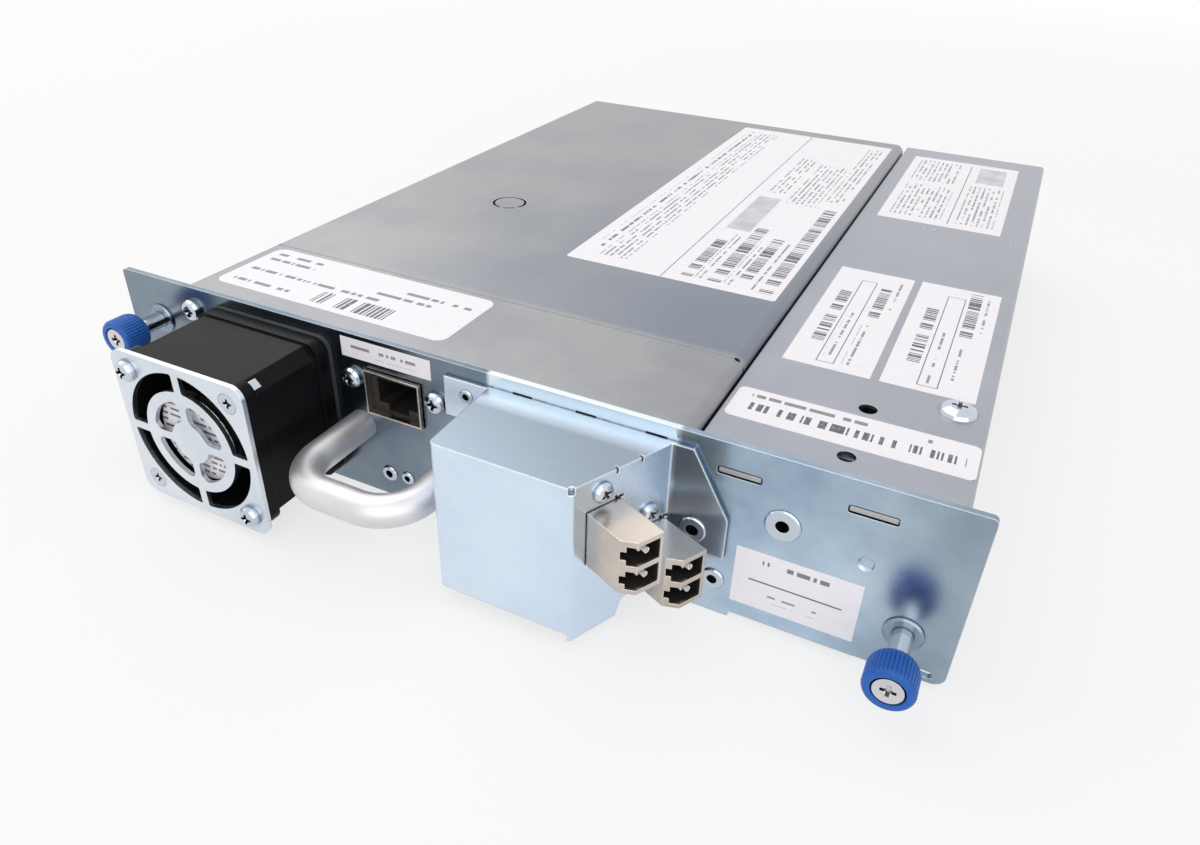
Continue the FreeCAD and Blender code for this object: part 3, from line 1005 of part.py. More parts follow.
SHIELD_T = 0.4
SHIELD_PLAY = 0.3
sx0, sx1 = JACK_X + SHIELD_PLAY, JACK_X + JACK_W - SHIELD_PLAY
sz0, sz1 = jack_z0 + SHIELD_PLAY, jack_z1 - SHIELD_PLAY
SHIELD_OUT = 1.3
INSERT_BACK = 1.0                        # face of the insert behind the panel's
inner_x0, inner_x1 = sx0 + SHIELD_T, sx1 - SHIELD_T
inner_z0, inner_z1 = sz0 + SHIELD_T, sz1 - SHIELD_T
shield = cut(block(sx0, sx1, -SHIELD_OUT, JACK_D, sz0, sz1),
             block(inner_x0, inner_x1, -SHIELD_OUT - 1, JACK_D - SHIELD_T, inner_z0, inner_z1))
insert = block(inner_x0, inner_x1, INSERT_BACK, JACK_D - SHIELD_T, inner_z0, inner_z1)
jack_mid = JACK_X + JACK_W / 2
socket_z0 = sz0 + 2.9
socket = block(jack_mid - SOCKET_W / 2, jack_mid + SOCKET_W / 2, 0, SOCKET_D,
               socket_z0, socket_z0 + SOCKET_H)
LATCH_W, LATCH_H = 6.2, 1.9
latch = block(jack_mid - LATCH_W / 2, jack_mid + LATCH_W / 2, 0, SOCKET_D, socket_z0 - LATCH_H, socket_z0)
CONTACTS, CONTACT_PITCH = 8, 1.27
pins = []
grooves = []
for i in range(CONTACTS):
    x = jack_mid + (i - (CONTACTS - 1) / 2) * CONTACT_PITCH
    z1 = socket_z0 + SOCKET_H
    line = [V(x - 0.2, 2.4, z1 + 0.4), V(x - 0.2, SOCKET_D - 1.0, z1 - 2.6), V(x - 0.2, SOCKET_D, z1 - 2.6),
            V(x - 0.2, SOCKET_D, z1 - 2.2), V(x - 0.2, SOCKET_D - 0.9, z1 - 2.2), V(x - 0.2, 2.6, z1 + 0.8)]
    pins.append(Part.Face(Part.makePolygon(line + line[:1])).extrude(V(0.4, 0, 0)))
    grooves.append(block(x - 0.3, x + 0.3, 2.0, 5.4, z1 - 0.1, z1 + 1.0))
jack_insert = cut(insert, socket, latch, *grooves)
jack_shield = shield
# the board behind the port, with the bracket that takes the two screws
JACK_BOARD_T = 1.6
board_under = sz0 - JACK_BOARD_T
jack_board = block(JACK_X - 7, JACK_X + JACK_W + 7, PANEL_T + SHEET + 0.5, JACK_D + 4, board_under, sz0)
jack_board = cut(jack_board, *[rod(8.0, V(x, PANEL_T, handle_z), Y, 6) for x in handle_legs])
wing_z1 = jack_screw_z + 4
wings = []
for spot in jack_screws_at:
    outer = spot.x - 3.6 if spot.x < jack_mid else spot.x + 3.6
    near = sx0 if spot.x < jack_mid else sx1
    x0, x1 = min(outer, near), max(outer, near)
    wing = block(x0, x1, PANEL_T, PANEL_T + SHEET, sz0, wing_z1)
    wings.append(cut(wing, rod(M3 - 0.4, V(spot.x, 0, spot.z), Y, 6)))
jack_shield = fuse(jack_shield, *wings)
jack_screws = [pan_screw(V(spot.x, 0, spot.z), -Y, M3 - 0.4, HEAD_M3, HEAD_H, PANEL_T + SHEET + 2)
               for spot in jack_screws_at]

# ---------------------------------------------------------------- fibre port box

slant_a = V(BOX_FRONT, -BOX_D, 0)
slant_b = V(BOX_RIGHT, 0, 0)
slant_way = slant_b - slant_a
slant_way.normalize()
slant_out = V(-slant_way.y, slant_way.x, 0) * -1
FLANGE_L = 12.1
FLANGE_R = 13.3
LEAN = 0.8                               # the front face is a little narrower than the mouth of the box
slant_foot = BOX_RIGHT - BOX_T * (BOX_RIGHT - BOX_FRONT) / BOX_D
wall_path = [V(BOX_X - FLANGE_L, -BOX_T, BOX_FOOT), V(BOX_X, -BOX_T, BOX_FOOT),
             V(BOX_X + LEAN, -BOX_D, BOX_FOOT),
             V(BOX_FRONT, -BOX_D, BOX_FOOT), V(slant_foot, -BOX_T, BOX_FOOT),
             V(BOX_RIGHT + FLANGE_R, -BOX_T, BOX_FOOT)]
walls = bent(wall_path[::-1], BOX_T, BOX_FOLD, V(0, 0, -(BOX_Z1 - BOX_FOOT)))
walls.translate(V(0, 0, BOX_Z1 - BOX_FOOT))
# flange outlines: the left one is a short tongue, the right one has a cut corner
FLANGE_L_LOW = TOP - 13.8
FLANGE_R_LOW = TOP - 29.6
flange_cuts = [block(BOX_X - FLANGE_L - 1, BOX_X - 0.2, -BOX_T - 1, 1, BOX_FOOT - 1, FLANGE_L_LOW),
               block(BOX_X - 1, BOX_FRONT - 0.6, -BOX_D - 1, 1, BOX_FOOT - 1, BOX_FOOT + BOX_RISE),
               block(BOX_RIGHT + 0.6, BOX_RIGHT + FLANGE_R + 1, -BOX_T - 1, 1, BOX_FOOT - 1, FLANGE_R_LOW)]
corner_x = BOX_RIGHT + FLANGE_R
CORNER_IN, CORNER_DOWN = 9.0, 15.8
cut_y = -BOX_T - 1
corner_z = BOX_Z1 - CORNER_DOWN
flange_cuts.append(prism([V(corner_x - CORNER_IN, cut_y, BOX_Z1 + 1), V(corner_x - CORNER_IN, cut_y, BOX_Z1),
                          V(corner_x, cut_y, corner_z), V(corner_x + 1, cut_y, corner_z),
                          V(corner_x + 1, cut_y, BOX_Z1 + 1)], 0, V(0, BOX_T + 2, 0)))
top_plate = prism([V(BOX_X + 0.6, 0, BOX_Z1 - BOX_T), V(BOX_X + LEAN + 0.6, -BOX_D + 0.6, BOX_Z1 - BOX_T),
                   V(BOX_FRONT - 0.4, -BOX_D + 0.6, BOX_Z1 - BOX_T), V(BOX_RIGHT - 0.9, 0, BOX_Z1 - BOX_T)],
                  0, V(0, 0, BOX_T))
tabs = [block(x - TAB_W / 2, x + TAB_W / 2, -0.5, PANEL_T, BOX_Z1 - BOX_T, BOX_Z1) for x in TABS]
fibre_box = cut(fuse(walls, top_plate), *flange_cuts)
fibre_box = fuse(fibre_box, *tabs)

# arch in the slanted face's lower edge
ARCH_S, ARCH_W, ARCH_UP = 18.5, 12.0, 4.5


def on_slant(s, out, z):
    """A point s along the slanted face, out in front of it, at height z."""
    return slant_a + slant_way * s + slant_out * out + V(0, 0, z)


ARCH_R = 2.0
arch_s0, arch_s1 = ARCH_S - ARCH_W / 2, ARCH_S + ARCH_W / 2
arch_z = BOX_FOOT + ARCH_UP
arch = prism([on_slant(arch_s0, -3, BOX_FOOT - 1), on_slant(arch_s1, -3, BOX_FOOT - 1),
              on_slant(arch_s1 - ARCH_R, -3, arch_z), on_slant(arch_s0 + ARCH_R, -3, arch_z)],
             [0, 0, ARCH_R, ARCH_R], slant_out * 6)


def slant_block(s0, s1, out0, out1, z0, z1):
    """A box square to the slanted face."""
    corners = [(s0, out0), (s1, out0), (s1, out1), (s0, out1)]
    return prism([on_slant(s, out, z0) for s, out in corners], 0, V(0, 0, z1 - z0))


def slant_cut(points, z0, z1):
    """A prism over (along, out) points of the slanted face."""
    return prism([on_slant(s, out, z0) for s, out in points], 0, V(0, 0, z1 - z0))


def slant_slot(start, end, width):
    """A slot through the slanted wall between two (along, height) points."""
    first = on_slant(start[0], -BOX_T - 1, start[1])
    last = on_slant(end[0], -BOX_T - 1, end[1])
    side = (last - first).cross(slant_out)
    side.normalize()
    side = side * (width / 2)
    return prism([first - side, last - side, last + side, first + side], 0, slant_out * (BOX_T + 2))


# transceivers: a plated shell over a black insert, with two ports one over the
# other; the nose slants back on the side of the latch slots
OPTIC_IN = 9.0
shells, inserts, optic_screws, optic_tools = [], [], [], []
OPTIC_SCREW, OPTIC_HEAD, OPTIC_HEAD_H = 2.2, 4.6, 1.6
SCREW_IN, SCREW_UP = 3.85, 3.7           # each optic screw, from the shell's edge and top
LATCH_DEPTH = 6.0
FERRULE = 1.4
FERRULE_L = 4.0
KEY_LONG = ((3.6, -2.8), (5.9, -6.3))    # keyhole marks beside each screw: along, up
KEY_SHORT = ((4.5, -3.4), (5.9, -3.5))
KEY_W = 0.6
for s0, drop in zip(OPTIC_S, OPTIC_DROPS):
    z1 = TOP - drop
    z0 = z1 - OPTIC_H
    mid_z = (z0 + z1) / 2
    s1 = s0 + OPTIC_W
    nose_s = s0 + NOSE_RUN
    optic_tools.append(slant_block(s0 - 0.15, s1 + 0.15, -BOX_T - 1, 1, z0 - 0.15, z1 + 0.15))
    shell = slant_cut([(s0, -OPTIC_IN), (s1, -OPTIC_IN), (s1, OPTIC_OUT), (nose_s, OPTIC_OUT - NOSE_DIP),
                       (s0, OPTIC_OUT - NOSE_BACK)], z0, z1)
    inside = [(s0 + OPTIC_WALL, -OPTIC_IN), (s1 - OPTIC_WALL, -OPTIC_IN),
              (s1 - OPTIC_WALL, OPTIC_OUT - OPTIC_WALL),
              (nose_s, OPTIC_OUT - NOSE_DIP - 1.4 * OPTIC_WALL),
              (s0 + OPTIC_WALL, OPTIC_OUT - NOSE_BACK - 0.8 * OPTIC_WALL)]
    core_z0, core_z1 = z0 + OPTIC_WALL, z1 - OPTIC_WALL
    body = slant_cut(inside, core_z0, core_z1)
    port_cuts, teeth = [], []
    for side in (-1, 1):
        low = mid_z + side * PORT_PITCH / 2 - PORT_H / 2
        port_s1 = s1 - PORT_RIM
        port_s0 = port_s1 - PORT_W
        port_back = OPTIC_OUT - 1 - PORT_D
        latch_s0 = port_s0 - PORT_LATCH[0]
        notch_z = low + (PORT_LATCH[1] - PORT_NOTCH[1]) / 2
        port_cuts.append(slant_block(port_s0, port_s1, port_back, OPTIC_OUT + 1, low, low + PORT_H))
        port_cuts.append(slant_block(latch_s0, port_s0 + 0.1, OPTIC_OUT - 1 - LATCH_DEPTH, OPTIC_OUT + 1,
                                     low, low + PORT_LATCH[1]))
        port_cuts.append(slant_block(latch_s0 - PORT_NOTCH[0], latch_s0 + 0.1, OPTIC_OUT - NOSE_BACK - 0.8,
                                     OPTIC_OUT + 1, notch_z, notch_z + PORT_NOTCH[1]))
        teeth.append(slant_block(port_s0 - PORT_TOOTH[0] / 2, port_s0 + PORT_TOOTH[0] / 2,
                                 OPTIC_OUT - NOSE_DIP - 1.4 * OPTIC_WALL, OPTIC_OUT - NOSE_DIP,
                                 low + PORT_H - PORT_TOOTH[1], low + PORT_H + 0.2))
    shell = fuse(cut(shell, body, *port_cuts), *teeth)
    shells.append(shell)
    body = cut(body, *port_cuts)
    sleeve_s = s1 - PORT_RIM - PORT_W / 2
    sleeve_spots = [on_slant(sleeve_s, port_back - 0.1, mid_z + side * PORT_PITCH / 2) for side in (-1, 1)]
    sleeves = [rod(FERRULE, spot, slant_out, FERRULE_L) for spot in sleeve_spots]
    inserts.append(fuse(body, *sleeves))
    screw_s = s0 + SCREW_IN
    screw_z = z1 + SCREW_UP
    optic_screws.append(pan_screw(on_slant(screw_s, 0, screw_z), slant_out, OPTIC_SCREW, OPTIC_HEAD,
                                  OPTIC_HEAD_H, BOX_T + 3))
    optic_tools.append(rod(OPTIC_SCREW + 0.2, on_slant(screw_s, -3, screw_z), slant_out, 6))
    for start, end in (KEY_LONG, KEY_SHORT):
        optic_tools.append(slant_slot((screw_s + start[0], screw_z + start[1]),
                                      (screw_s + end[0], screw_z + end[1]), KEY_W))
# short relief cuts in the slant's upper edge and a relief hole at the folded corner
EDGE_CUTS = (11.8, 18.4)
EDGE_CUT_W, EDGE_CUT_H = 0.5, 1.2
reliefs = [slant_block(s - EDGE_CUT_W / 2, s + EDGE_CUT_W / 2, -0.7 * BOX_T, 1,
                       BOX_Z1 - EDGE_CUT_H, BOX_Z1 + 1) for s in EDGE_CUTS]
CORNER_RELIEF = 1.3
reliefs.append(rod(CORNER_RELIEF, V(BOX_FRONT - 0.2, -BOX_D + 0.5, BOX_Z1 - BOX_T - 0.4), Z, BOX_T + 1))
fibre_box = cut(fibre_box, arch, *(optic_tools + reliefs))

# board inside the box that carries both transceivers
CAGE_S0, CAGE_S1 = OPTIC_S[0] - 1.5, OPTIC_S[1] + OPTIC_W + 0.6
optic_board = slant_block(CAGE_S0 + 1.2, CAGE_S1 - 1.0, -OPTIC_IN - BOARD_T, -OPTIC_IN, BOX_FOOT + 5,
                          TOP - OPTIC_DROPS[0] + 4)
outline_limit = prism([V(BOX_X + 3, -BOX_D + 3, 0), V(BOX_FRONT - 1, -BOX_D + 3, 0),
                       V(BOX_RIGHT - 4, -0.5, 0), V(BOX_X + 3, -0.5, 0)], 0, V(0, 0, TOP))
optic_board = optic_board.common(outline_limit)


def clinch(x, y0, drop, outer, inner, depth):
    """A clinched ring with a stepped hole, its face flush or just proud."""
    profile = [(inner / 2, 0), (outer / 2 - 0.3, 0), (outer / 2, 0.3), (outer / 2, 0.5),
               (outer / 2 - 0.6, 0.5), (outer / 2 - 0.6, depth), (inner / 2, depth)]
    return turned(profile, V(x, y0 - 0.5, TOP - drop), Y)


panel_rivets = [clinch(x, 0, drop, outer, inner, PANEL_T + 0.5) for x, drop, outer, inner in RIVETS]
box_rivets = [clinch(x, -BOX_T, drop, outer, inner, BOX_T + PANEL_T + 0.5)
              for x, drop, outer, inner in BOX_RIVETS]
fibre_box = cut(fibre_box, *[rod(outer - 1.2, V(x, -5, TOP - drop), Y, 6)
                             for x, drop, outer, inner in BOX_RIVETS])

# ---------------------------------------------------------------- thumbscrews

screw_nodes = {}
ferrules = []
KNURLS, FLUTE_D = 30, 0.7
DISC_R = 3.1                             # steel disc let into the knob's face
DISC_IN, DISC_T = 0.2, 1.2
TIP = 0.7                                # bevel at the thread's end
CLIP_MOUTH = 2.8
knob_r = KNOB_D / 2
groove_r = (SHANK_D - 1.0) / 2
for side, (x, drop, face) in screw_specs.items():
    z = TOP - drop
    ferrule = turned([(SHANK_D / 2 + RUN, 0), (FERRULE_D / 2 - 0.4, 0), (FERRULE_D / 2, 0.4),
                      (FERRULE_D / 2, FERRULE_T), (FERRULE_SEAT / 2, FERRULE_T),
                      (FERRULE_SEAT / 2, FERRULE_T + PANEL_T), (SHANK_D / 2 + RUN, FERRULE_T + PANEL_T)],
                     V(x, -FERRULE_T, z), Y)
    # shank with a head disc in the knob, a groove for the clip and a threaded end
    clip_y = PANEL_T + FIT + STROKE_OUT - face
    clip_end = clip_y + CLIP_T
    disc_y, disc_back = DISC_IN - face, DISC_IN + DISC_T - face
    thread_y = clip_end + 1.6
    thread_end = thread_y + THREAD_L
    shank_profile = [(0, disc_y), (DISC_R, disc_y), (DISC_R, disc_back), (SHANK_D / 2, disc_back),
                     (SHANK_D / 2, clip_y - RUN), (groove_r, clip_y - RUN), (groove_r, clip_end + RUN),
                     (SHANK_D / 2, clip_end + RUN), (SHANK_D / 2, clip_end + 1.2), (THREAD_D / 2, thread_y),
                     (THREAD_D / 2, thread_end), (THREAD_D / 2 - TIP, thread_end + TIP), (0, thread_end + TIP)]
    shank = turned(shank_profile, V(x, 0, z), Y)
    shank = cut(shank, place(cross_recess(3.2, 0.9), V(x, disc_y, z), -Y))
    knob_back = KNOB_L - face
    knob_profile = [(DISC_R, -face), (knob_r - 1.2, -face), (knob_r - 0.3, 0.9 - face),
                    (knob_r - 0.3, 1.6 - face), (knob_r, 1.9 - face), (knob_r, knob_back - 0.8),
                    (knob_r - 0.8, knob_back), (SHANK_D / 2, knob_back), (SHANK_D / 2, disc_back),
                    (DISC_R, disc_back)]
    knob = turned(knob_profile, V(x, 0, z), Y)
    flutes = []
    for i in range(KNURLS):
        flute = rod(FLUTE_D, V(x + knob_r + 0.1, 1.2 - face, z), Y, KNOB_L)
        flute.rotate(V(x, 0, z), Y, i * 360 / KNURLS)
        flutes.append(flute)
    knob = knob.cut(flutes)
    mouth = block(x - CLIP_MOUTH / 2, x + CLIP_MOUTH / 2, clip_y - 1, clip_end + 1, z - CLIP_D, z)
    clip = cut(rod(CLIP_D, V(x, clip_y, z), Y, CLIP_T),
               rod(2 * (groove_r + RUN), V(x, clip_y - 1, z), Y, CLIP_T + 2), mouth)
    ferrules.append(ferrule)
    screw_nodes[side + "_shank"] = shank
    screw_nodes[side + "_knob"] = knob
    screw_nodes[side + "_clip"] = clip

panel_screw = pan_screw(V(PANEL_SCREW[0], 0, TOP - PANEL_SCREW[1]), -Y, M3 - 0.2, HEAD_M3 + 0.4, HEAD_H,
                        PANEL_T + SHEET + 2)

# ---------------------------------------------------------------- side bay

SPACER_H = 5.0
bay_board_x0 = DIVIDER_X + DIVIDER_FOOT + 1.0
bay_board_x1 = TRAY_X1 - SHEET - 1.0
bay_board_y0 = 26.0
bay_board_y1 = BAY_END - 14.0
bay_board_z0 = SHEET + SPACER_H
SPACER_IN = 4.0
spacer_ys = (bay_board_y0 + SPACER_IN, (bay_board_y0 + bay_board_y1) / 2, bay_board_y1 - 4 * SPACER_IN)
spacer_spots = [(x, y) for x in (bay_board_x0 + SPACER_IN, bay_board_x1 - SPACER_IN) for y in spacer_ys]
SPACER_D = 5.0
spacers = []
for x, y in spacer_spots:
    ring = rod(SPACER_D, V(x, y, SHEET), Z, SPACER_H)
    spacers.append(cut(ring, rod(M3 - 0.4, V(x, y, SHEET - 1), Z, SPACER_H + 2)))
bay_board = cut(block(bay_board_x0, bay_board_x1, bay_board_y0, bay_board_y1,
                      bay_board_z0, bay_board_z0 + BOARD_T),
                *[rod(M3 + 0.3, V(x, y, bay_board_z0 - 1), Z, BOARD_T + 2) for x, y in spacer_spots])
board_screws = [pan_screw(V(x, y, bay_board_z0 + BOARD_T), Z, M3 - 0.5, HEAD_M3 - 0.4, 1.8,
                          BOARD_T + SPACER_H - 0.5) for x, y in spacer_spots]
# chips: from the board's corner across and along, width, length, height
BAY_CHIPS = ((5, 20, 14, 14, 1.8), (8, 50, 10, 10, 1.4), (4, 84, 17, 17, 2.4), (6, 122, 12, 8, 1.6),
             (5, 150, 8, 20, 9.0), (16, 150, 7, 7, 8.0))
chip_z = bay_board_z0 + BOARD_T
bay_chips = []
for across, along, w, l, h in BAY_CHIPS:
    x = bay_board_x0 + across
    y = bay_board_y0 + along
    bay_chips.append(block(x, x + w, y, y + l, chip_z, chip_z + h))

# blind-mate connector at the far end, with two guide pins
DOCK_SIDE, DOCK_H = 3.0, 9.0
dock_mid = (bay_board_x0 + bay_board_x1) / 2
DOCK_W = bay_board_x1 - bay_board_x0 - 2 * DOCK_SIDE
dock_z0 = chip_z
dock_y0 = bay_board_y1 - 10.0
dock_x0, dock_x1 = dock_mid - DOCK_W / 2, dock_mid + DOCK_W / 2
dock = block(dock_x0, dock_x1, dock_y0, BAY_END - 2.0, dock_z0, dock_z0 + DOCK_H)
DOCK_SLOTS, DOCK_SLOT_H = (2.2, 5.4), 1.4
dock_slots = [block(dock_x0 + 2, dock_x1 - 2, BAY_END - 8, BAY_END, dock_z0 + z, dock_z0 + z + DOCK_SLOT_H)
              for z in DOCK_SLOTS]
docking_connector = cut(dock, *dock_slots)
# cross plate at the far end carries the guide pins
END_T = 1.5
end_y0 = BAY_END - END_T - 6.0
end_x0, end_x1 = DIVIDER_X + SHEET, TRAY_X1 - SHEET
end_z0 = dock_z0 + DOCK_H + 3.0
END_FLANGE = 12.0
end_path = [V(end_x0, end_y0, end_z0), V(end_x0, end_y0, RIGHT_WALL_TOP),
            V(end_x0, end_y0 - END_FLANGE, RIGHT_WALL_TOP)]
end_bracket = bent(end_path[::-1], END_T, FOLD, V(-(end_x1 - end_x0), 0, 0))
end_bracket.translate(V(end_x1 - end_x0, 0, 0))
GUIDE_D, GUIDE_L = 4.0, 8.0
GUIDE_Z = end_z0 + 8.0
GUIDE_SEAT_D = 3.2                       # the pin's neck in the cross plate
GUIDE_HEAD, GUIDE_COLLAR = (3.2, 1.5), (2.8, 0.8)    # radius and thickness, behind and in front of it
GUIDE_TIP = 2.2
neck_r = GUIDE_SEAT_D / 2
collar_end = END_T + GUIDE_COLLAR[1]
guide_end = END_T + GUIDE_L
guide_profile = [(0, -GUIDE_HEAD[1]), (GUIDE_HEAD[0], -GUIDE_HEAD[1]), (GUIDE_HEAD[0], 0), (neck_r, 0),
                 (neck_r, END_T), (GUIDE_COLLAR[0], END_T), (GUIDE_COLLAR[0], collar_end),
                 (GUIDE_D / 2, collar_end), (GUIDE_D / 2, guide_end),
                 (GUIDE_D / 2 - 1.2, guide_end + GUIDE_TIP), (0, guide_end + GUIDE_TIP)]
guide_pins = []
for x in (dock_x0, dock_x1):
    guide_pins.append(turned(guide_profile, V(x, end_y0 - END_T, GUIDE_Z), Y))
    end_bracket = cut(end_bracket, rod(GUIDE_SEAT_D, V(x, end_y0 - END_T - 1, GUIDE_Z), Y, END_T + 2))

# ---------------------------------------------------------------- write the nodes

save("chassis_tray", tray)
save("bay_divider", divider)
save("service_panel", panel)
save("short_cover", short_cover)
save("drive_cover", drive_cover)
save("bay_cover", bay_cover)
save("cover_button", cover_button)
save("bay_brackets", bay_bracket, bay_angle)
save("drive_base", casting)
save("case_screws", *(foot_screws + side_screws))
save("drive_bezel", bezel)
save("cartridge_door", cartridge_door)
save("takeup_reel", takeup_reel)
save("reel_clutch", reel_clutch)
save("reel_motors", takeup_motor, clutch_motor)
save("cartridge_carriage", cartridge_carriage)
for name, solid in roller_nodes.items():
    save(name, solid)
save("roller_axles", *axles)
save("head_carriage", head_carriage)
save("head_actuator", head_actuator)
save("drive_board", board)
save("drive_connector", drive_connector)
save("fan_frame", fan_frame)
save("fan_bearing", fan_bearing)
save("fan_stator", fan_stator)
save("fan_rotor", fan_rotor)
save("fan_guard", fan_guard)
save("fan_gasket", fan_gasket)
save("fan_screws", *fan_screws)
save("handle", handle)
save("handle_screws", *handle_screws)
save("jack_shield", jack_shield)
save("jack_insert", jack_insert)
save("jack_contacts", *pins)
save("jack_screws", *jack_screws)
save("fibre_box", fibre_box)
save("optic_shells", *shells)
save("optic_inserts", *inserts)
save("optic_screws", *optic_screws)
save("port_boards", jack_board, optic_board)
save("panel_rivets", *(panel_rivets + box_rivets))
for name, solid in screw_nodes.items():
    save(name, solid)
save("thumbscrew_ferrules", *ferrules)
save("panel_screw", panel_screw)
save("bay_board", bay_board)
save("board_spacers", *(spacers + board_screws))
save("board_chips", *(chips + bay_chips))
save("docking_connector", docking_connector)
save("end_bracket", end_bracket)
save("guide_pins", *guide_pins)
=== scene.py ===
import math

import bmesh
import bpy
from mathutils import Matrix, Vector


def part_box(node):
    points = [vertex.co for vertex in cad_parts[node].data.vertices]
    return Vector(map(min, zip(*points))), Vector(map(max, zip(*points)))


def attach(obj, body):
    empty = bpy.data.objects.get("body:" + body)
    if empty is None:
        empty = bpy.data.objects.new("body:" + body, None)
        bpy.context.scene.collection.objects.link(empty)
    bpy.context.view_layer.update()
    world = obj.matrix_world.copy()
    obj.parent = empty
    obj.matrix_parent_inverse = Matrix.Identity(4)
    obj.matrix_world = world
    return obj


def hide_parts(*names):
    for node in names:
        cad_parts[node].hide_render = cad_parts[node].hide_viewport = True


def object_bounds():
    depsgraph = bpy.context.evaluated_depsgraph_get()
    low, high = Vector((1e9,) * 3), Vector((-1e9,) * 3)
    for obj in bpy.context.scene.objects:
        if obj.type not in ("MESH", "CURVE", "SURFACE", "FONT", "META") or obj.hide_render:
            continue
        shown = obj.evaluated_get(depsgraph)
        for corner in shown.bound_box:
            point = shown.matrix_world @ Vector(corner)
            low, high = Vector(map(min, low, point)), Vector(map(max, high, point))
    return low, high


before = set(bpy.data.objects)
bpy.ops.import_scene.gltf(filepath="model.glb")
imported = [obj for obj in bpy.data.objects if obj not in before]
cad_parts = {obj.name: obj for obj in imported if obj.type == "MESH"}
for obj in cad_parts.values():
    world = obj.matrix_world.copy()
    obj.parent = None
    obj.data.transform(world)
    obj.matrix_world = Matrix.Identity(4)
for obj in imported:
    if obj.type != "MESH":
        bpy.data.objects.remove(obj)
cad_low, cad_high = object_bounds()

# ------------------------------------------------------------ sled tray and inner brackets
# The tray, the divider, the shelf and end brackets and the cartridge carriage are cut and
# folded from one-millimetre hot-dip galvanised sheet. The coils freeze in flat crystals, so
# the sheet shows a faint spangle, a soft roll grain and bare bright edges where it was cut.


def put(tree, kind, inputs=(), **settings):
    """A shader node with its settings made and its sockets linked or set."""
    made = tree.nodes.new(kind)
    for name, value in settings.items():
        setattr(made, name, value)
    for name, value in dict(inputs).items():
        feed(tree, made.inputs[name], value)
    return made


def feed(tree, socket, value):
    if isinstance(value, bpy.types.NodeSocket):
        tree.links.new(value, socket)
    else:
        socket.default_value = value


def calc(tree, operation, *values, clamp=False):
    """The result of a Math node."""
    made = tree.nodes.new("ShaderNodeMath")
    made.operation = operation
    made.use_clamp = clamp
    for socket, value in zip(made.inputs, values):
        feed(tree, socket, value)
    return made.outputs[0]


def product(tree, *values):
    """The values multiplied together."""
    made = values[0]
    for value in values[1:]:
        made = calc(tree, "MULTIPLY", made, value)
    return made


def swing(tree, value, middle, reach, base):
    """base, moved up and down by reach as value passes middle."""
    return calc(tree, "MULTIPLY_ADD", calc(tree, "SUBTRACT", value, middle), reach, base)


def remap(tree, value, low, high, to_low=0.0, to_high=1.0):
    """value between low and high spread over to_low and to_high, and held there beyond them."""
    made = put(tree, "ShaderNodeMapRange",
               {"From Min": low, "From Max": high, "To Min": to_low, "To Max": to_high})
    feed(tree, made.inputs["Value"], value)
    return made.outputs["Result"]


def tint(tree, factor, first, second, mode="MIX"):
    """Two colours mixed by factor."""
    made = tree.nodes.new("ShaderNodeMix")
    made.data_type = "RGBA"
    made.blend_type = mode
    for index, value in ((0, factor), (6, first), (7, second)):
        feed(tree, made.inputs[index], value)
    return made.outputs[2]


def spot_of(tree):
    """Where a point lies, in the object's own coordinates."""
    return tree.nodes.new("ShaderNodeTexCoord").outputs["Object"]


def facing_up(tree):
    """1 on a face that looks straight up, 0 on an upright one."""
    normal = tree.nodes.new("ShaderNodeNewGeometry").outputs["Normal"]
    return put(tree, "ShaderNodeSeparateXYZ", {0: normal}).outputs["Z"]


def speckle(tree, scale, detail=2.0, place=None, rough=0.5):
    """Noise on the object's own coordinates, scale in lumps per metre."""
    if place is None:
        place = spot_of(tree)
    made = put(tree, "ShaderNodeTexNoise",
               {"Vector": place, "Scale": scale, "Detail": detail, "Roughness": rough})
    return made.outputs["Fac"]


def scaled(tree, colour, amount):
    """A colour or a vector made larger or smaller by one number."""
    return put(tree, "ShaderNodeVectorMath", {0: colour, "Scale": amount}, operation="SCALE").outputs[0]


def new_group(name, takes, gives):
    """A shader node group with named sockets: its tree, its inputs and its outputs."""
    tree = bpy.data.node_groups.new(name, "ShaderNodeTree")
    for label, value in takes.items():
        kind = "NodeSocketColor" if isinstance(value, tuple) else "NodeSocketFloat"
        tree.interface.new_socket(label, in_out="INPUT", socket_type=kind).default_value = value
    for label, kind in gives.items():
        tree.interface.new_socket(label, in_out="OUTPUT", socket_type="NodeSocket" + kind)
    return tree, tree.nodes.new("NodeGroupInput").outputs, tree.nodes.new("NodeGroupOutput").inputs


def use_group(tree, group, **values):
    """A group placed in a material, with its sockets set by name (words joined by _)."""
    made = tree.nodes.new("ShaderNodeGroup")
    made.node_tree = group
    for name, value in values.items():
        feed(tree, made.inputs[name.replace("_", " ")], value)
    return made.outputs


def rgba(colour):
    return (colour[0], colour[1], colour[2], 1.0)


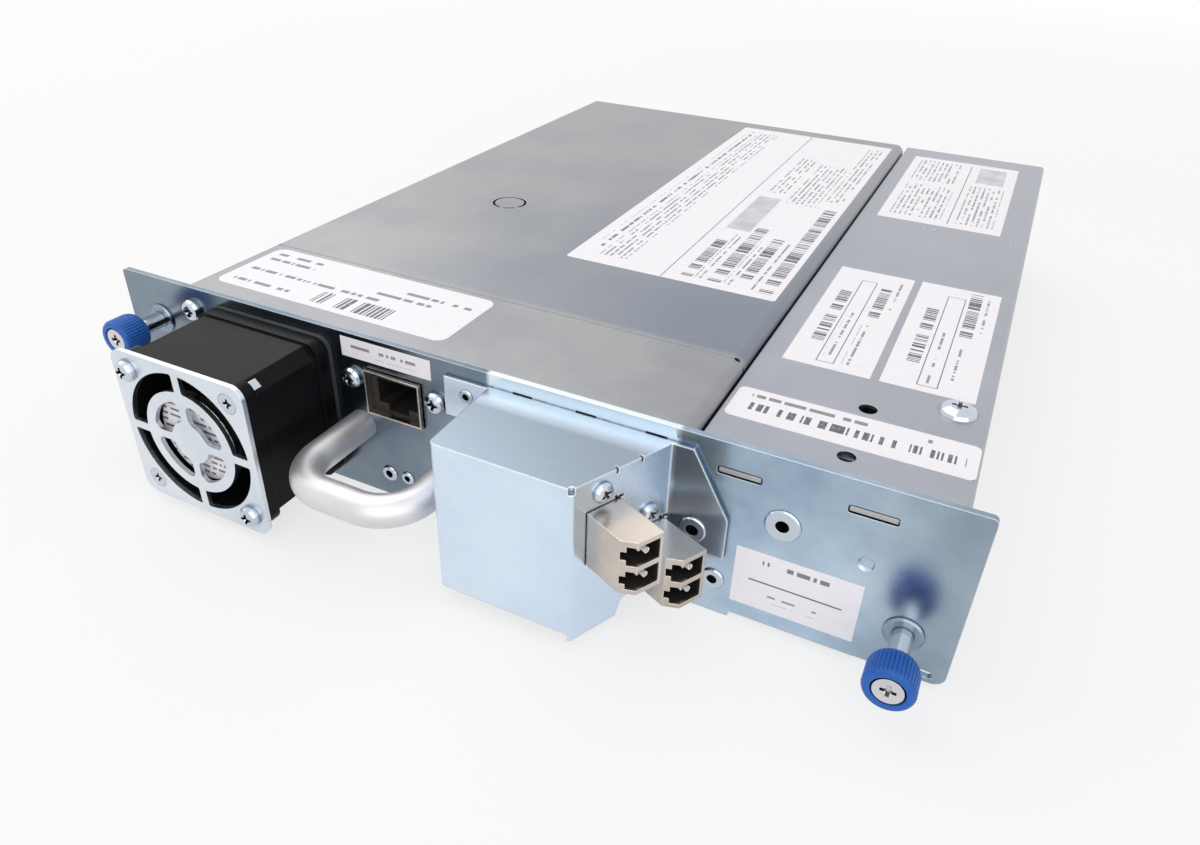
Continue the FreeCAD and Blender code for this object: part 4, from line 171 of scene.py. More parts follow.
# sheet face: cloudy plating, frozen spangle and fine grain
sheet_face, takes, gives = new_group(
    "sheet face",
    {"Colour": (0.5, 0.5, 0.5, 1), "Cloud Colour": (0.6, 0.6, 0.6, 1), "Clouds": 0.5, "Spangle": 0.2,
     "Spangle Scale": 260.0, "Grain": 0.3, "Roughness": 0.35},
    {"Colour": "Color", "Roughness": "Float", "Height": "Float"})
place = spot_of(sheet_face)
CLOUD_LUMPS, WANDER_LUMPS, PORE_LUMPS, GRAIN_LUMPS = 26.0, 180.0, 620.0, 2600.0    # per metre
WANDER = (0.006, 0.006, 0.006)           # how far a crystal's outline strays, in metres
clouds = remap(sheet_face, speckle(sheet_face, CLOUD_LUMPS, 4.0, place, 0.6), 0.32, 0.68)
wander = put(sheet_face, "ShaderNodeTexNoise",
             {"Vector": place, "Scale": WANDER_LUMPS, "Detail": 2.0}).outputs["Color"]
astray = put(sheet_face, "ShaderNodeVectorMath", {0: wander, 1: WANDER}, operation="MULTIPLY").outputs[0]
bent_place = put(sheet_face, "ShaderNodeVectorMath", {0: place, 1: astray}, operation="ADD").outputs[0]
crystals = put(sheet_face, "ShaderNodeTexVoronoi",
               {"Vector": bent_place, "Scale": takes["Spangle Scale"]}).outputs["Color"]
crystal = put(sheet_face, "ShaderNodeSeparateColor", {"Color": crystals}).outputs[0]
fine = speckle(sheet_face, GRAIN_LUMPS, 2.0, place)
pores = speckle(sheet_face, PORE_LUMPS, 3.0, place)
cloudy = product(sheet_face, clouds, takes["Clouds"])
spangled = product(sheet_face, calc(sheet_face, "SUBTRACT", crystal, 0.5), takes["Spangle"])
factor = calc(sheet_face, "ADD", cloudy, spangled, clamp=True)
sheet_colour = tint(sheet_face, factor, takes["Colour"], takes["Cloud Colour"])
freckled = remap(sheet_face, fine, 0.3, 0.7, 0.985, 1.015)
feed(sheet_face, gives["Colour"], scaled(sheet_face, sheet_colour, freckled))
rough = swing(sheet_face, pores, 0.5, 0.05, takes["Roughness"])
rough = calc(sheet_face, "MULTIPLY_ADD", spangled, 0.25, rough)
feed(sheet_face, gives["Roughness"], swing(sheet_face, clouds, 0.5, 0.08, rough))
relief = product(sheet_face, fine, takes["Grain"])
feed(sheet_face, gives["Height"], calc(sheet_face, "MULTIPLY_ADD", spangled, 0.6, relief))

# worn edge: a mask along edges and corners, broken up, and the normal of the softened edge
worn_edge, takes, gives = new_group("worn edge", {"Width": 0.0003, "Amount": 0.5},
                                    {"Mask": "Float", "Normal": "Vector"})
soft = put(worn_edge, "ShaderNodeBevel", {"Radius": takes["Width"]}, samples=4).outputs[0]
true_normal = worn_edge.nodes.new("ShaderNodeNewGeometry").outputs["Normal"]
agree = put(worn_edge, "ShaderNodeVectorMath", {0: soft, 1: true_normal},
            operation="DOT_PRODUCT").outputs["Value"]
edge = remap(worn_edge, agree, 0.995, 0.86)
broken = remap(worn_edge, speckle(worn_edge, 500.0, 2.0), 0.3, 0.5, 0.7, 1.0)
feed(worn_edge, gives["Mask"], product(worn_edge, edge, broken, takes["Amount"]))
feed(worn_edge, gives["Normal"], soft)

# settled dust: a thin uneven layer on faces that look up
settled_dust, takes, gives = new_group("settled dust", {"Amount": 0.1}, {"Mask": "Float"})
lying = remap(settled_dust, facing_up(settled_dust), 0.4, 1.0)
drift = remap(settled_dust, speckle(settled_dust, 60.0, 6.0, rough=0.7), 0.35, 0.75)
feed(settled_dust, gives["Mask"], product(settled_dust, lying, drift, takes["Amount"]))

# painted recess shade: a mask of painted shade that darkens recesses, seams and the ground round seated
# heads, where shade falls
painted_recess_shade, takes, gives = new_group("painted recess shade", {"Reach": 0.0008, "Amount": 0.5}, {"Mask": "Float"})
sheltered = put(painted_recess_shade, "ShaderNodeAmbientOcclusion", {"Distance": takes["Reach"]},
                samples=4).outputs["AO"]
shut_in = remap(painted_recess_shade, sheltered, 0.8, 0.25)
patchy = remap(painted_recess_shade, speckle(painted_recess_shade, 700.0, 3.0), 0.25, 0.6, 0.6, 1.0)
feed(painted_recess_shade, gives["Mask"], product(painted_recess_shade, shut_in, patchy, takes["Amount"]))


def start_material(name):
    """A node material with one Principled shader on its output."""
    made = bpy.data.materials.new(name)
    made.use_nodes = True
    tree = made.node_tree
    tree.nodes.clear()
    out = tree.nodes.new("ShaderNodeOutputMaterial")
    shader = tree.nodes.new("ShaderNodeBsdfPrincipled")
    tree.links.new(shader.outputs[0], out.inputs["Surface"])
    return made, tree, shader.inputs


def relief_on(tree, height, depth, normal):
    """The normal of a surface with fine relief of that depth in metres."""
    return put(tree, "ShaderNodeBump", {"Height": height, "Distance": depth, "Normal": normal}).outputs[0]


DUST_GREY = (0.55, 0.53, 0.5, 1.0)
# near-black colour of the painted shade in recesses and seams
RECESS_SHADE_COLOUR = (0.03, 0.032, 0.036, 1.0)


def metal_sheet(name, colour, cloud, bare, clouds=0.5, spangle=0.2, spangle_scale=260.0, grain=0.3,
                roughness=0.35, wear=0.5, wear_width=0.0003, dust=0.08, bump=0.00001, recess_shade=0.6, reach=0.0008,
                painted_light=None):
    """Plated or galvanised metal: clouds, spangle, grain, bare worn edges, dust and painted shade in
    recesses.
    If given, the last argument is a function that paints light, shade and reflections onto the plate's colour
    from place to place."""
    made, tree, shader = start_material(name)
    face = use_group(tree, sheet_face, Colour=rgba(colour), Cloud_Colour=rgba(cloud), Clouds=clouds,
                     Spangle=spangle, Spangle_Scale=spangle_scale, Grain=grain, Roughness=roughness)
    edge = use_group(tree, worn_edge, Width=wear_width, Amount=wear)
    dusty = use_group(tree, settled_dust, Amount=dust)
    shaded_recess = use_group(tree, painted_recess_shade, Reach=reach, Amount=recess_shade)
    # painted light, shade and reflections are laid on the plate's colour here
    plate = painted_light(tree, face["Colour"]) if painted_light else face["Colour"]
    worn = tint(tree, edge["Mask"], plate, rgba(bare))
    dusted = tint(tree, dusty["Mask"], worn, DUST_GREY)
    # painted shade: recesses, seams and the ground round seated heads are darkened towards near black
    feed(tree, shader["Base Color"], tint(tree, shaded_recess["Mask"], dusted, RECESS_SHADE_COLOUR))
    feed(tree, shader["Metallic"], calc(tree, "SUBTRACT", 1.0, dusty["Mask"]))
    dulled = calc(tree, "MULTIPLY_ADD", dusty["Mask"], 0.5, face["Roughness"])
    feed(tree, shader["Roughness"], calc(tree, "MULTIPLY_ADD", edge["Mask"], -0.08, dulled, clamp=True))
    feed(tree, shader["Normal"], relief_on(tree, face["Height"], bump, edge["Normal"]))
    return made


def dress(material, *nodes):
    """Give CAD nodes their finish."""
    for name in nodes:
        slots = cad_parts[name].data.materials
        for index in range(len(slots)):
            slots[index] = material


galvanised = metal_sheet("galvanised sheet", (0.43, 0.44, 0.45), (0.56, 0.57, 0.58), (0.7, 0.71, 0.72),
                         clouds=0.4, spangle=0.45, spangle_scale=210.0, roughness=0.4, dust=0.12)
dress(galvanised, "chassis_tray", "bay_divider", "bay_brackets", "end_bracket", "cartridge_carriage")

# ------------------------------------------------------------ top covers
# Three covers close the top: a short one behind the panel, the long one over the drive and a
# lower one over the side bay. They are the same galvanised sheet with a finer, greyer skin,
# folded down at the sides, and the seams between them show as thin dark and bright lines.

MM = 0.001
panel_low, panel_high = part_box("service_panel")


def at(x, y, z):
    """A point in the frame from the panel's left edge, its outer face and the tray's underside."""
    return Vector((panel_low.x + x * MM, panel_low.y + y * MM, z * MM))


def across(tree, axis, start, end, low=0.0, high=1.0):
    """low to high as a surface runs from start to end along one axis, in millimetres of at()."""
    spot = put(tree, "ShaderNodeSeparateXYZ", {0: spot_of(tree)})
    first, last = getattr(at(start, start, start), axis), getattr(at(end, end, end), axis)
    if first > last:
        first, last, low, high = last, first, high, low
    return remap(tree, spot.outputs["xyz".index(axis)], first, last, low, high)


def painted_cover_reflection(tree, colour):
    """A painted reflection: the drive cover is painted bluer and darker towards its front, beside the side
    bay.
    """
    # mask of the painted reflection: 0 at the back and the left, rising towards the front right
    oiled = product(tree, across(tree, "x", 50.0, 150.0), across(tree, "y", 170.0, 60.0),
                    across(tree, "y", 35.0, 37.0), 0.75)
    return tint(tree, oiled, colour, (0.19, 0.225, 0.29, 1))


cover_sheet = metal_sheet("cover sheet", (0.29, 0.3, 0.33), (0.385, 0.38, 0.37), (0.6, 0.61, 0.63),
                          clouds=0.8, spangle=0.1, spangle_scale=330.0, grain=0.2, roughness=0.36, dust=0.03,
                          recess_shade=0.85, reach=0.0012, painted_light=painted_cover_reflection)
dress(cover_sheet, "short_cover", "drive_cover")
bay_sheet = metal_sheet("bay cover sheet", (0.37, 0.385, 0.43), (0.44, 0.45, 0.5), (0.66, 0.67, 0.7),
                        clouds=0.7, spangle=0.1, spangle_scale=330.0, grain=0.2, roughness=0.34, dust=0.03,
                        recess_shade=0.85, reach=0.0012)
dress(bay_sheet, "bay_cover")

# ------------------------------------------------------------ service panel
# One and a half millimetres of steel with bright zinc plate and a blue passivation. It is
# nearly a mirror, cloudy where the bath left it thicker, so knobs and screws reflect in it.


def painted_panel_light(tree, colour):
    """Painted light and shade on the plate: darker behind the fan and the ports, paler beside them,
    and a painted highlight on the strip above the fibre box."""
    pale = product(tree, across(tree, "x", 118.0, 178.0), across(tree, "x", 224.0, 200.0, 0.35, 1.0),
                   across(tree, "z", 44.0, 10.0, 0.7, 1.0))
    light_and_shade = tint(tree, pale, scaled(tree, colour, 0.6), scaled(tree, colour, 1.5))
    # painted highlight: a bright line on the strip above the fibre box
    strip = product(tree, across(tree, "x", 118.4, 119.6), across(tree, "x", 167.0, 165.8),
                    across(tree, "z", 42.7, 43.3, 0.0, 0.9))
    return tint(tree, strip, light_and_shade, (0.88, 0.97, 1.0, 1))


panel_zinc = metal_sheet("blue zinc plate", (0.22, 0.3, 0.39), (0.46, 0.55, 0.63), (0.74, 0.8, 0.86),
                         clouds=0.9, spangle=0.0, spangle_scale=500.0, grain=0.06, roughness=0.24, wear=0.8,
                         dust=0.0, recess_shade=0.9, reach=0.001, bump=0.000005, painted_light=painted_panel_light)
dress(panel_zinc, "service_panel")

# ------------------------------------------------------------ fibre port box
# A bracket folded from thinner sheet with a brighter zinc plate, almost white with a cool cast.
# Its flanges are riveted to the panel, and its slanted face carries the two transceivers.


def painted_box_shade(tree, colour):
    """Painted shade: the top plate is painted a darker grey, except along the panel, and the flange beside
    the slanted face is painted dark."""
    # painted shade on faces that look up, away from the panel
    top_shade = product(tree, remap(tree, facing_up(tree), 0.6, 0.95), across(tree, "y", -3.0, -8.0), 0.92)
    top_shaded = tint(tree, top_shade, colour, (0.26, 0.31, 0.375, 1))
    flange_shade = product(tree, across(tree, "x", 165.2, 166.4), across(tree, "y", -3.0, -2.0),
                     across(tree, "z", 15.0, 34.0, 0.45, 0.95))
    return tint(tree, flange_shade, top_shaded, (0.25, 0.33, 0.41, 1))


box_zinc = metal_sheet("bright zinc plate", (0.6, 0.71, 0.87), (0.76, 0.87, 0.97), (0.95, 0.98, 1.0),
                       clouds=0.8, spangle=0.0, spangle_scale=500.0, grain=0.05, roughness=0.26, wear=1.0,
                       wear_width=0.0005, dust=0.0, recess_shade=0.9, reach=0.001, bump=0.000004,
                       painted_light=painted_box_shade)
dress(box_zinc, "fibre_box")

# ------------------------------------------------------------ screws, rivets and pins
# Pan heads and countersunk screws are zinc plated; the thumbscrew shanks, their clips and
# ferrules, the guide pins and the roller axles are nickel plated and polished.

screw_zinc = metal_sheet("screw plate", (0.5, 0.56, 0.64), (0.7, 0.75, 0.82), (0.92, 0.93, 0.95), clouds=0.7,
                         spangle=0.0, grain=0.1, roughness=0.18, wear=0.7, wear_width=0.0002, dust=0.0,
                         recess_shade=1.0, reach=0.0012)
dress(screw_zinc, "cover_button", "case_screws", "fan_screws", "handle_screws", "jack_screws", "optic_screws",
      "panel_rivets", "panel_screw", "board_spacers")
pin_nickel = metal_sheet("polished nickel", (0.58, 0.58, 0.6), (0.78, 0.76, 0.77), (0.92, 0.9, 0.91),
                         clouds=0.6, spangle=0.0, grain=0.05, roughness=0.12, wear=0.5,
                         wear_width=0.00015, dust=0.0, recess_shade=1.0, reach=0.001)
dress(pin_nickel, "roller_axles", "guide_pins", "left_clip", "right_clip", "left_shank", "right_shank")
# painted shade and reflection: the nickel ferrules are given a dark blue that stands in for the shade and the
# blue knob's reflection round the shanks
dark_ferrule_plate = metal_sheet("dark blue ferrule plate", (0.2, 0.26, 0.34), (0.36, 0.44, 0.52), (0.7, 0.76, 0.82),
                            clouds=0.6, spangle=0.0, grain=0.05, roughness=0.18, wear=0.6, wear_width=0.00015,
                            dust=0.0, recess_shade=1.0)
dress(dark_ferrule_plate, "thumbscrew_ferrules")

# ------------------------------------------------------------ thumbscrew knobs
# Each captive screw has a moulded cobalt-blue grip pressed on its shank: fine straight ribs
# that die out at a rounded shoulder, and a smooth ring round the bright end of the screw.

moulded_skin, takes, gives = new_group(
    "moulded skin",
    {"Colour": (0.1, 0.1, 0.1, 1), "Shade": (0.08, 0.08, 0.08, 1), "Grain Scale": 3000.0, "Grain": 0.5,
     "Roughness": 0.45},
    {"Colour": "Color", "Roughness": "Float", "Height": "Float"})
place = spot_of(moulded_skin)
flow = remap(moulded_skin, speckle(moulded_skin, 70.0, 4.0, place, 0.6), 0.3, 0.7)
pits = put(moulded_skin, "ShaderNodeTexVoronoi", {"Vector": place, "Scale": takes["Grain Scale"]},
           feature="SMOOTH_F1").outputs["Distance"]
grit = speckle(moulded_skin, takes["Grain Scale"], 2.0, place)
feed(moulded_skin, gives["Colour"], tint(moulded_skin, flow, takes["Colour"], takes["Shade"]))
scuffed = swing(moulded_skin, flow, 0.5, 0.12, takes["Roughness"])
feed(moulded_skin, gives["Roughness"], swing(moulded_skin, grit, 0.5, 0.1, scuffed))
pitted = calc(moulded_skin, "ADD", product(moulded_skin, pits, 0.5), grit)
feed(moulded_skin, gives["Height"], product(moulded_skin, pitted, takes["Grain"]))


def moulding(name, colour, shade, worn, grain_scale=3000.0, grain=0.5, roughness=0.45, wear=0.35,
             wear_width=0.00025, dust=0.08, metallic=0.0, bump=0.00003, recess_shade=0.4, reach=0.0008, gloss=0.5):
    """Moulded plastic, rubber or a matt casting: skin grain, flow shade, rubbed edges and dust."""
    made, tree, shader = start_material(name)
    skin = use_group(tree, moulded_skin, Colour=rgba(colour), Shade=rgba(shade), Grain_Scale=grain_scale,
                     Grain=grain, Roughness=roughness)
    edge = use_group(tree, worn_edge, Width=wear_width, Amount=wear)
    dusty = use_group(tree, settled_dust, Amount=dust)
    shaded_recess = use_group(tree, painted_recess_shade, Reach=reach, Amount=recess_shade)
    rubbed = tint(tree, edge["Mask"], skin["Colour"], rgba(worn))
    dusted = tint(tree, dusty["Mask"], rubbed, DUST_GREY)
    # painted shade: recesses and seams are darkened towards a dark copy of the shade colour
    shaded = tint(tree, shaded_recess["Mask"], dusted, rgba([0.3 * part for part in shade]))
    feed(tree, shader["Base Color"], shaded)
    shader["Specular IOR Level"].default_value = gloss
    if metallic:
        feed(tree, shader["Metallic"], calc(tree, "MULTIPLY_ADD", dusty["Mask"], -1.0, metallic, clamp=True))
    dulled = calc(tree, "MULTIPLY_ADD", dusty["Mask"], 0.4, skin["Roughness"], clamp=True)
    feed(tree, shader["Roughness"], dulled)
    feed(tree, shader["Normal"], relief_on(tree, skin["Height"], bump, edge["Normal"]))
    return made


knob_blue = moulding("cobalt blue nylon", (0.016, 0.125, 0.5), (0.012, 0.1, 0.42), (0.06, 0.25, 0.7),
                     grain_scale=2400.0, grain=0.4, roughness=0.36, wear=0.45, wear_width=0.0002, dust=0.0,
                     recess_shade=0.8, reach=0.0006, gloss=0.35)


def piece_from(shape, name, materials, body, stands_for=(), smooth=True):
    """Turn a finished bmesh into a named piece on its body."""
    mesh = bpy.data.meshes.new(name)
    shape.to_mesh(mesh)
    shape.free()
    for material in materials:
        mesh.materials.append(material)
    for face in mesh.polygons:
        face.use_smooth = smooth
    made = bpy.data.objects.new(name, mesh)
    bpy.context.scene.collection.objects.link(made)
    if smooth:
        mesh.set_sharp_from_angle(angle=math.radians(35))
    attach(made, body)
    if stands_for:
        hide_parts(*stands_for)
    return made


RIBS = 40
RIB_STEPS = 4                            # mesh steps round one rib
RIB_DEPTH = 0.24
SCREW_HOLE_R = 3.4                       # opening round the bright end of the screw
SHANK_HOLE_R = 2.25


def knob_grip(side):
    """Ribbed grip made on the CAD knob's own place and size."""
    low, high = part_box(side + "_knob")
    centre = (low + high) / 2
    radius = (high.x - low.x) / 2 / MM
    long = (high.y - low.y) / MM
    # radius, distance from the front face, share of the rib depth
    rings = ((SCREW_HOLE_R, 1.4, 0), (SCREW_HOLE_R, 0.3, 0), (SCREW_HOLE_R + 0.2, 0.0, 0),
             (radius - 0.9, 0.0, 0), (radius - 0.55, 0.08, 0), (radius - 0.3, 0.3, 0),
             (radius - 0.22, 0.6, 0), (radius, 0.85, 1), (radius, long * 0.5, 1), (radius, long - 2.4, 1),
             (radius - 0.2, long - 1.6, 0.9), (radius - 0.6, long - 0.85, 0.6),
             (radius - 1.2, long - 0.32, 0.3), (radius - 2.0, long - 0.05, 0), (radius - 2.6, long, 0),
             (SHANK_HOLE_R, long, 0), (SHANK_HOLE_R, long - 0.6, 0))
    shape = bmesh.new()
    first = bmesh.ops.create_circle(shape, segments=RIBS * RIB_STEPS, radius=1.0, cap_ends=False)["verts"]
    bmesh.ops.transform(shape, matrix=Matrix.Rotation(math.radians(90), 4, "X"), verts=first)
    order = {vert: index for index, vert in enumerate(first)}
    for number, (ring_radius, y, rib) in enumerate(rings):
        if number:
            edges = [edge for edge in shape.edges if edge.verts[0] in order and edge.verts[1] in order]
            grown = bmesh.ops.extrude_edge_only(shape, edges=edges)["geom"]
            fresh_order = {}
            for vert in (item for item in grown if isinstance(item, bmesh.types.BMVert)):
                for edge in vert.link_edges:
                    other = edge.other_vert(vert)
                    if other in order:
                        fresh_order[vert] = order[other]
            order = fresh_order
        for vert, index in order.items():
            angle = index * 2 * math.pi / (RIBS * RIB_STEPS)
            in_valley = index % RIB_STEPS == RIB_STEPS // 2
            reach = ring_radius - (rib * RIB_DEPTH if in_valley else 0.0)
            vert.co = (math.cos(angle) * reach * MM, y * MM, math.sin(angle) * reach * MM)
    bmesh.ops.recalc_face_normals(shape, faces=shape.faces)
    bmesh.ops.translate(shape, verts=shape.verts, vec=Vector((centre.x, low.y, centre.z)))
    return piece_from(shape, side + "_grip", [knob_blue], side + "_thumbscrew",
                      (side + "_knob",))


for side in ("left", "right"):
    knob_grip(side)

# ------------------------------------------------------------ fan
# A forty-millimetre tube-axial fan: black glass-filled frame, seven twisted blades on a deep
# cup, a steel stator on a brass sleeve. It sits on a foam gasket behind a plated finger guard.

guard_plate = metal_sheet("satin nickel guard", (0.62, 0.69, 0.76), (0.86, 0.88, 0.91), (0.94, 0.95, 0.96),
                          clouds=0.9, spangle=0.0, grain=0.1, roughness=0.3, wear=0.7, wear_width=0.0002,
                          dust=0.0, recess_shade=0.6)
dress(guard_plate, "fan_guard")
black_frame = moulding("black glass-filled plastic", (0.004, 0.004, 0.0045), (0.007, 0.007, 0.008),
                       (0.03, 0.03, 0.032), grain_scale=2600.0, grain=0.35, roughness=0.3, wear=0.45,
                       dust=0.004, gloss=0.09)
dress(black_frame, "fan_frame", "fan_rotor")
stator_steel = metal_sheet("stator steel", (0.3, 0.3, 0.31), (0.42, 0.42, 0.43), (0.6, 0.6, 0.6),
                           clouds=0.5, spangle=0.0, roughness=0.35)
dress(stator_steel, "fan_stator", "reel_motors")
brass = metal_sheet("oiled brass", (0.62, 0.45, 0.2), (0.7, 0.54, 0.28), (0.8, 0.66, 0.4),
                    clouds=0.6, spangle=0.0, roughness=0.28)
dress(brass, "fan_bearing")
foam = moulding("closed-cell foam", (0.03, 0.03, 0.03), (0.05, 0.05, 0.05), (0.07, 0.07, 0.07),
                grain_scale=1400.0, grain=1.0, roughness=0.85, wear=0.2, bump=0.00012)
dress(foam, "fan_gasket")

# ------------------------------------------------------------ handle
# A bent eight-millimetre aluminium rod, bead blasted and clear anodised, held by two screws
# from behind the panel.

handle_metal = moulding("blasted aluminium", (0.66, 0.64, 0.655), (0.75, 0.73, 0.74), (0.85, 0.83, 0.83),
                        grain_scale=2200.0, grain=0.8, roughness=0.45, wear=0.15, dust=0.0, metallic=0.8,
                        recess_shade=0.2)
dress(handle_metal, "handle")

# ------------------------------------------------------------ network port
# A tin-plated shield round a black moulded insert with eight gold-plated contacts, soldered to
# a small board behind the panel. The transceivers' shells are pressed from the same strip.

nickel_shell = metal_sheet("warm nickel shell", (0.45, 0.39, 0.34), (0.78, 0.7, 0.63), (0.93, 0.86, 0.8),
                           clouds=0.8, spangle=0.0, grain=0.15, roughness=0.28, wear=0.8, wear_width=0.00025,
                           dust=0.0, recess_shade=0.7)
dress(nickel_shell, "jack_shield", "optic_shells")
contact_gold = metal_sheet("contact gold", (0.72, 0.5, 0.16), (0.8, 0.6, 0.24), (0.86, 0.7, 0.4), clouds=0.5,
                           spangle=0.0, grain=0.05, roughness=0.2)
dress(contact_gold, "jack_contacts")
port_black = moulding("port black", (0.012, 0.011, 0.01), (0.02, 0.018, 0.016), (0.05, 0.045, 0.04),
                      grain_scale=3200.0, grain=0.4, roughness=0.4, wear=0.4, dust=0.03)
dress(port_black, "jack_insert", "optic_inserts", "drive_bezel")

# ------------------------------------------------------------ drive mechanism
# Inside the drive: a die-cast aluminium base with the reel motors screwed to it, the moulded
# take-up reel and clutch on their shafts, the tape rollers on pressed pins, the head on its
# actuator, and the mouth with the cartridge door on its pivots.

cast_metal = moulding("die-cast aluminium", (0.42, 0.43, 0.44), (0.5, 0.51, 0.52), (0.7, 0.71, 0.72),
                      grain_scale=1300.0, grain=0.9, roughness=0.5, wear=0.5, metallic=1.0, bump=0.00005)
dress(cast_metal, "drive_base", "head_actuator")
door_plastic = moulding("dark grey plastic", (0.05, 0.05, 0.054), (0.065, 0.065, 0.07), (0.11, 0.11, 0.115),
                        roughness=0.5)
dress(door_plastic, "cartridge_door")
reel_plastic = moulding("reel plastic", (0.12, 0.12, 0.13), (0.15, 0.15, 0.16), (0.22, 0.22, 0.23),
                        roughness=0.35)
dress(reel_plastic, "takeup_reel")
clutch_plastic = moulding("acetal", (0.5, 0.5, 0.48), (0.55, 0.55, 0.53), (0.65, 0.65, 0.62),
                          roughness=0.35)
dress(clutch_plastic, "reel_clutch")
roller_ceramic = moulding("roller ceramic", (0.7, 0.69, 0.64), (0.76, 0.75, 0.7), (0.85, 0.84, 0.8),
                          roughness=0.2)
dress(roller_ceramic, "tape_roller_1", "tape_roller_2", "tape_roller_3", "tape_roller_4")
head_ceramic = moulding("head ceramic", (0.07, 0.07, 0.075), (0.09, 0.09, 0.1), (0.15, 0.15, 0.16),
                        roughness=0.12)
dress(head_ceramic, "head_carriage")

# ------------------------------------------------------------ boards and connectors
# Glass-fibre boards under green solder mask, on spacers, with moulded black chips soldered to
# them, and the moulded connectors of the drive and of the sled's far end.

board_green = moulding("solder mask", (0.02, 0.13, 0.06), (0.03, 0.17, 0.08), (0.3, 0.33, 0.2),
                       grain_scale=900.0, grain=0.3, roughness=0.25, wear=0.6)
dress(board_green, "drive_board", "bay_board", "port_boards")
chip_black = moulding("chip moulding", (0.022, 0.022, 0.023), (0.03, 0.03, 0.031), (0.06, 0.06, 0.06),
                      roughness=0.5)
dress(chip_black, "board_chips")
connector_black = moulding("connector moulding", (0.05, 0.05, 0.05), (0.07, 0.07, 0.07), (0.12, 0.12, 0.12))
dress(connector_black, "drive_connector", "docking_connector")

# ------------------------------------------------------------ labels
# Paper labels with a clear face, stuck on the covers and the panel. Each carries only plain
# ruled rows and bars, pressed flat, with rounded or square corners.

paper, tree, shader = start_material("label paper")
fibres = remap(tree, speckle(tree, 500.0, 4.0), 0.3, 0.7)
feed(tree, shader["Base Color"], tint(tree, fibres, (0.89, 0.86, 0.9, 1), (0.92, 0.895, 0.93, 1)))
feed(tree, shader["Roughness"], remap(tree, speckle(tree, 90.0, 3.0), 0.3, 0.7, 0.32, 0.46))
feed(tree, shader["Normal"], put(tree, "ShaderNodeBump", {"Height": fibres, "Distance": 0.00001}).outputs[0])

INK = (0.05, 0.05, 0.06, 1)
PAPER = (0.905, 0.88, 0.915, 1)
BARS_PER_METRE = 2300.0
BAR_SHARE = 0.52                         # share of the bars that are inked
DASHES_PER_METRE = 1400.0
DASH_SHARE = 0.8
ROW_FOOT, ROW_HEAD = 0.3, 0.68           # inked band of one row


def axis_of(tree, axis):
    return put(tree, "ShaderNodeSeparateXYZ", {0: spot_of(tree)}).outputs[axis]


def bar_print(name, axis):
    """Plain bars of uneven width, one beside the other along axis."""
    made, tree, shader = start_material(name)
    bar = calc(tree, "FLOOR", product(tree, axis_of(tree, axis), BARS_PER_METRE))
    dice = put(tree, "ShaderNodeTexWhiteNoise", {"W": bar}, noise_dimensions="1D")
    inked = calc(tree, "LESS_THAN", dice.outputs["Value"], BAR_SHARE)
    worn = product(tree, inked, remap(tree, speckle(tree, 1600.0, 3.0), 0.3, 0.5, 0.7, 0.92))
    feed(tree, shader["Base Color"], tint(tree, worn, PAPER, INK))
    feed(tree, shader["Roughness"], calc(tree, "MULTIPLY_ADD", inked, 0.12, 0.36))
    return made


def row_print(name, along, upright, pitch, ink=0.6):
    """Ruled rows broken into short dashes: along is the way the rows run, upright the way they
    follow one another, a pitch apart."""
    made, tree, shader = start_material(name)
    row = product(tree, axis_of(tree, upright), 1.0 / (pitch * MM))
    number = calc(tree, "FLOOR", row)
    height = calc(tree, "FRACT", row)
    inside = product(tree, calc(tree, "GREATER_THAN", height, ROW_FOOT),
                     calc(tree, "LESS_THAN", height, ROW_HEAD))
    step = product(tree, axis_of(tree, along), DASHES_PER_METRE)
    cell = put(tree, "ShaderNodeCombineXYZ", {0: calc(tree, "FLOOR", step), 1: number})
    dice = put(tree, "ShaderNodeTexWhiteNoise", {"Vector": cell.outputs[0]}, noise_dimensions="2D")
    # dashes gather in runs about six long, which start anew in each row
    runs = put(tree, "ShaderNodeCombineXYZ", {0: product(tree, step, 0.16), 1: product(tree, number, 7.3)})
    gaps = put(tree, "ShaderNodeTexNoise", {"Vector": runs.outputs[0], "Scale": 1.0, "Detail": 0.0},
               noise_dimensions="2D").outputs["Fac"]
    dash = product(tree, calc(tree, "LESS_THAN", dice.outputs["Value"], DASH_SHARE),
                   calc(tree, "GREATER_THAN", gaps, 0.38))
    feed(tree, shader["Base Color"], tint(tree, product(tree, inside, dash, ink), PAPER, INK))
    shader["Roughness"].default_value = 0.4
    return made


solid_print, tree, shader = start_material("rule ink")
feed(tree, shader["Base Color"],
     tint(tree, speckle(tree, 1500.0, 2.0), (0.1, 0.1, 0.11, 1), (0.16, 0.15, 0.16, 1)))
feed(tree, shader["Roughness"], remap(tree, speckle(tree, 400.0, 2.0), 0.3, 0.7, 0.4, 0.5))

smudge, tree, shader = start_material("faded print")
blot = remap(tree, speckle(tree, 120.0, 4.0, rough=0.6), 0.35, 0.6, 0.35, 0.75)
feed(tree, shader["Base Color"], tint(tree, blot, PAPER, (0.4, 0.4, 0.44, 1)))
shader["Roughness"].default_value = 0.45

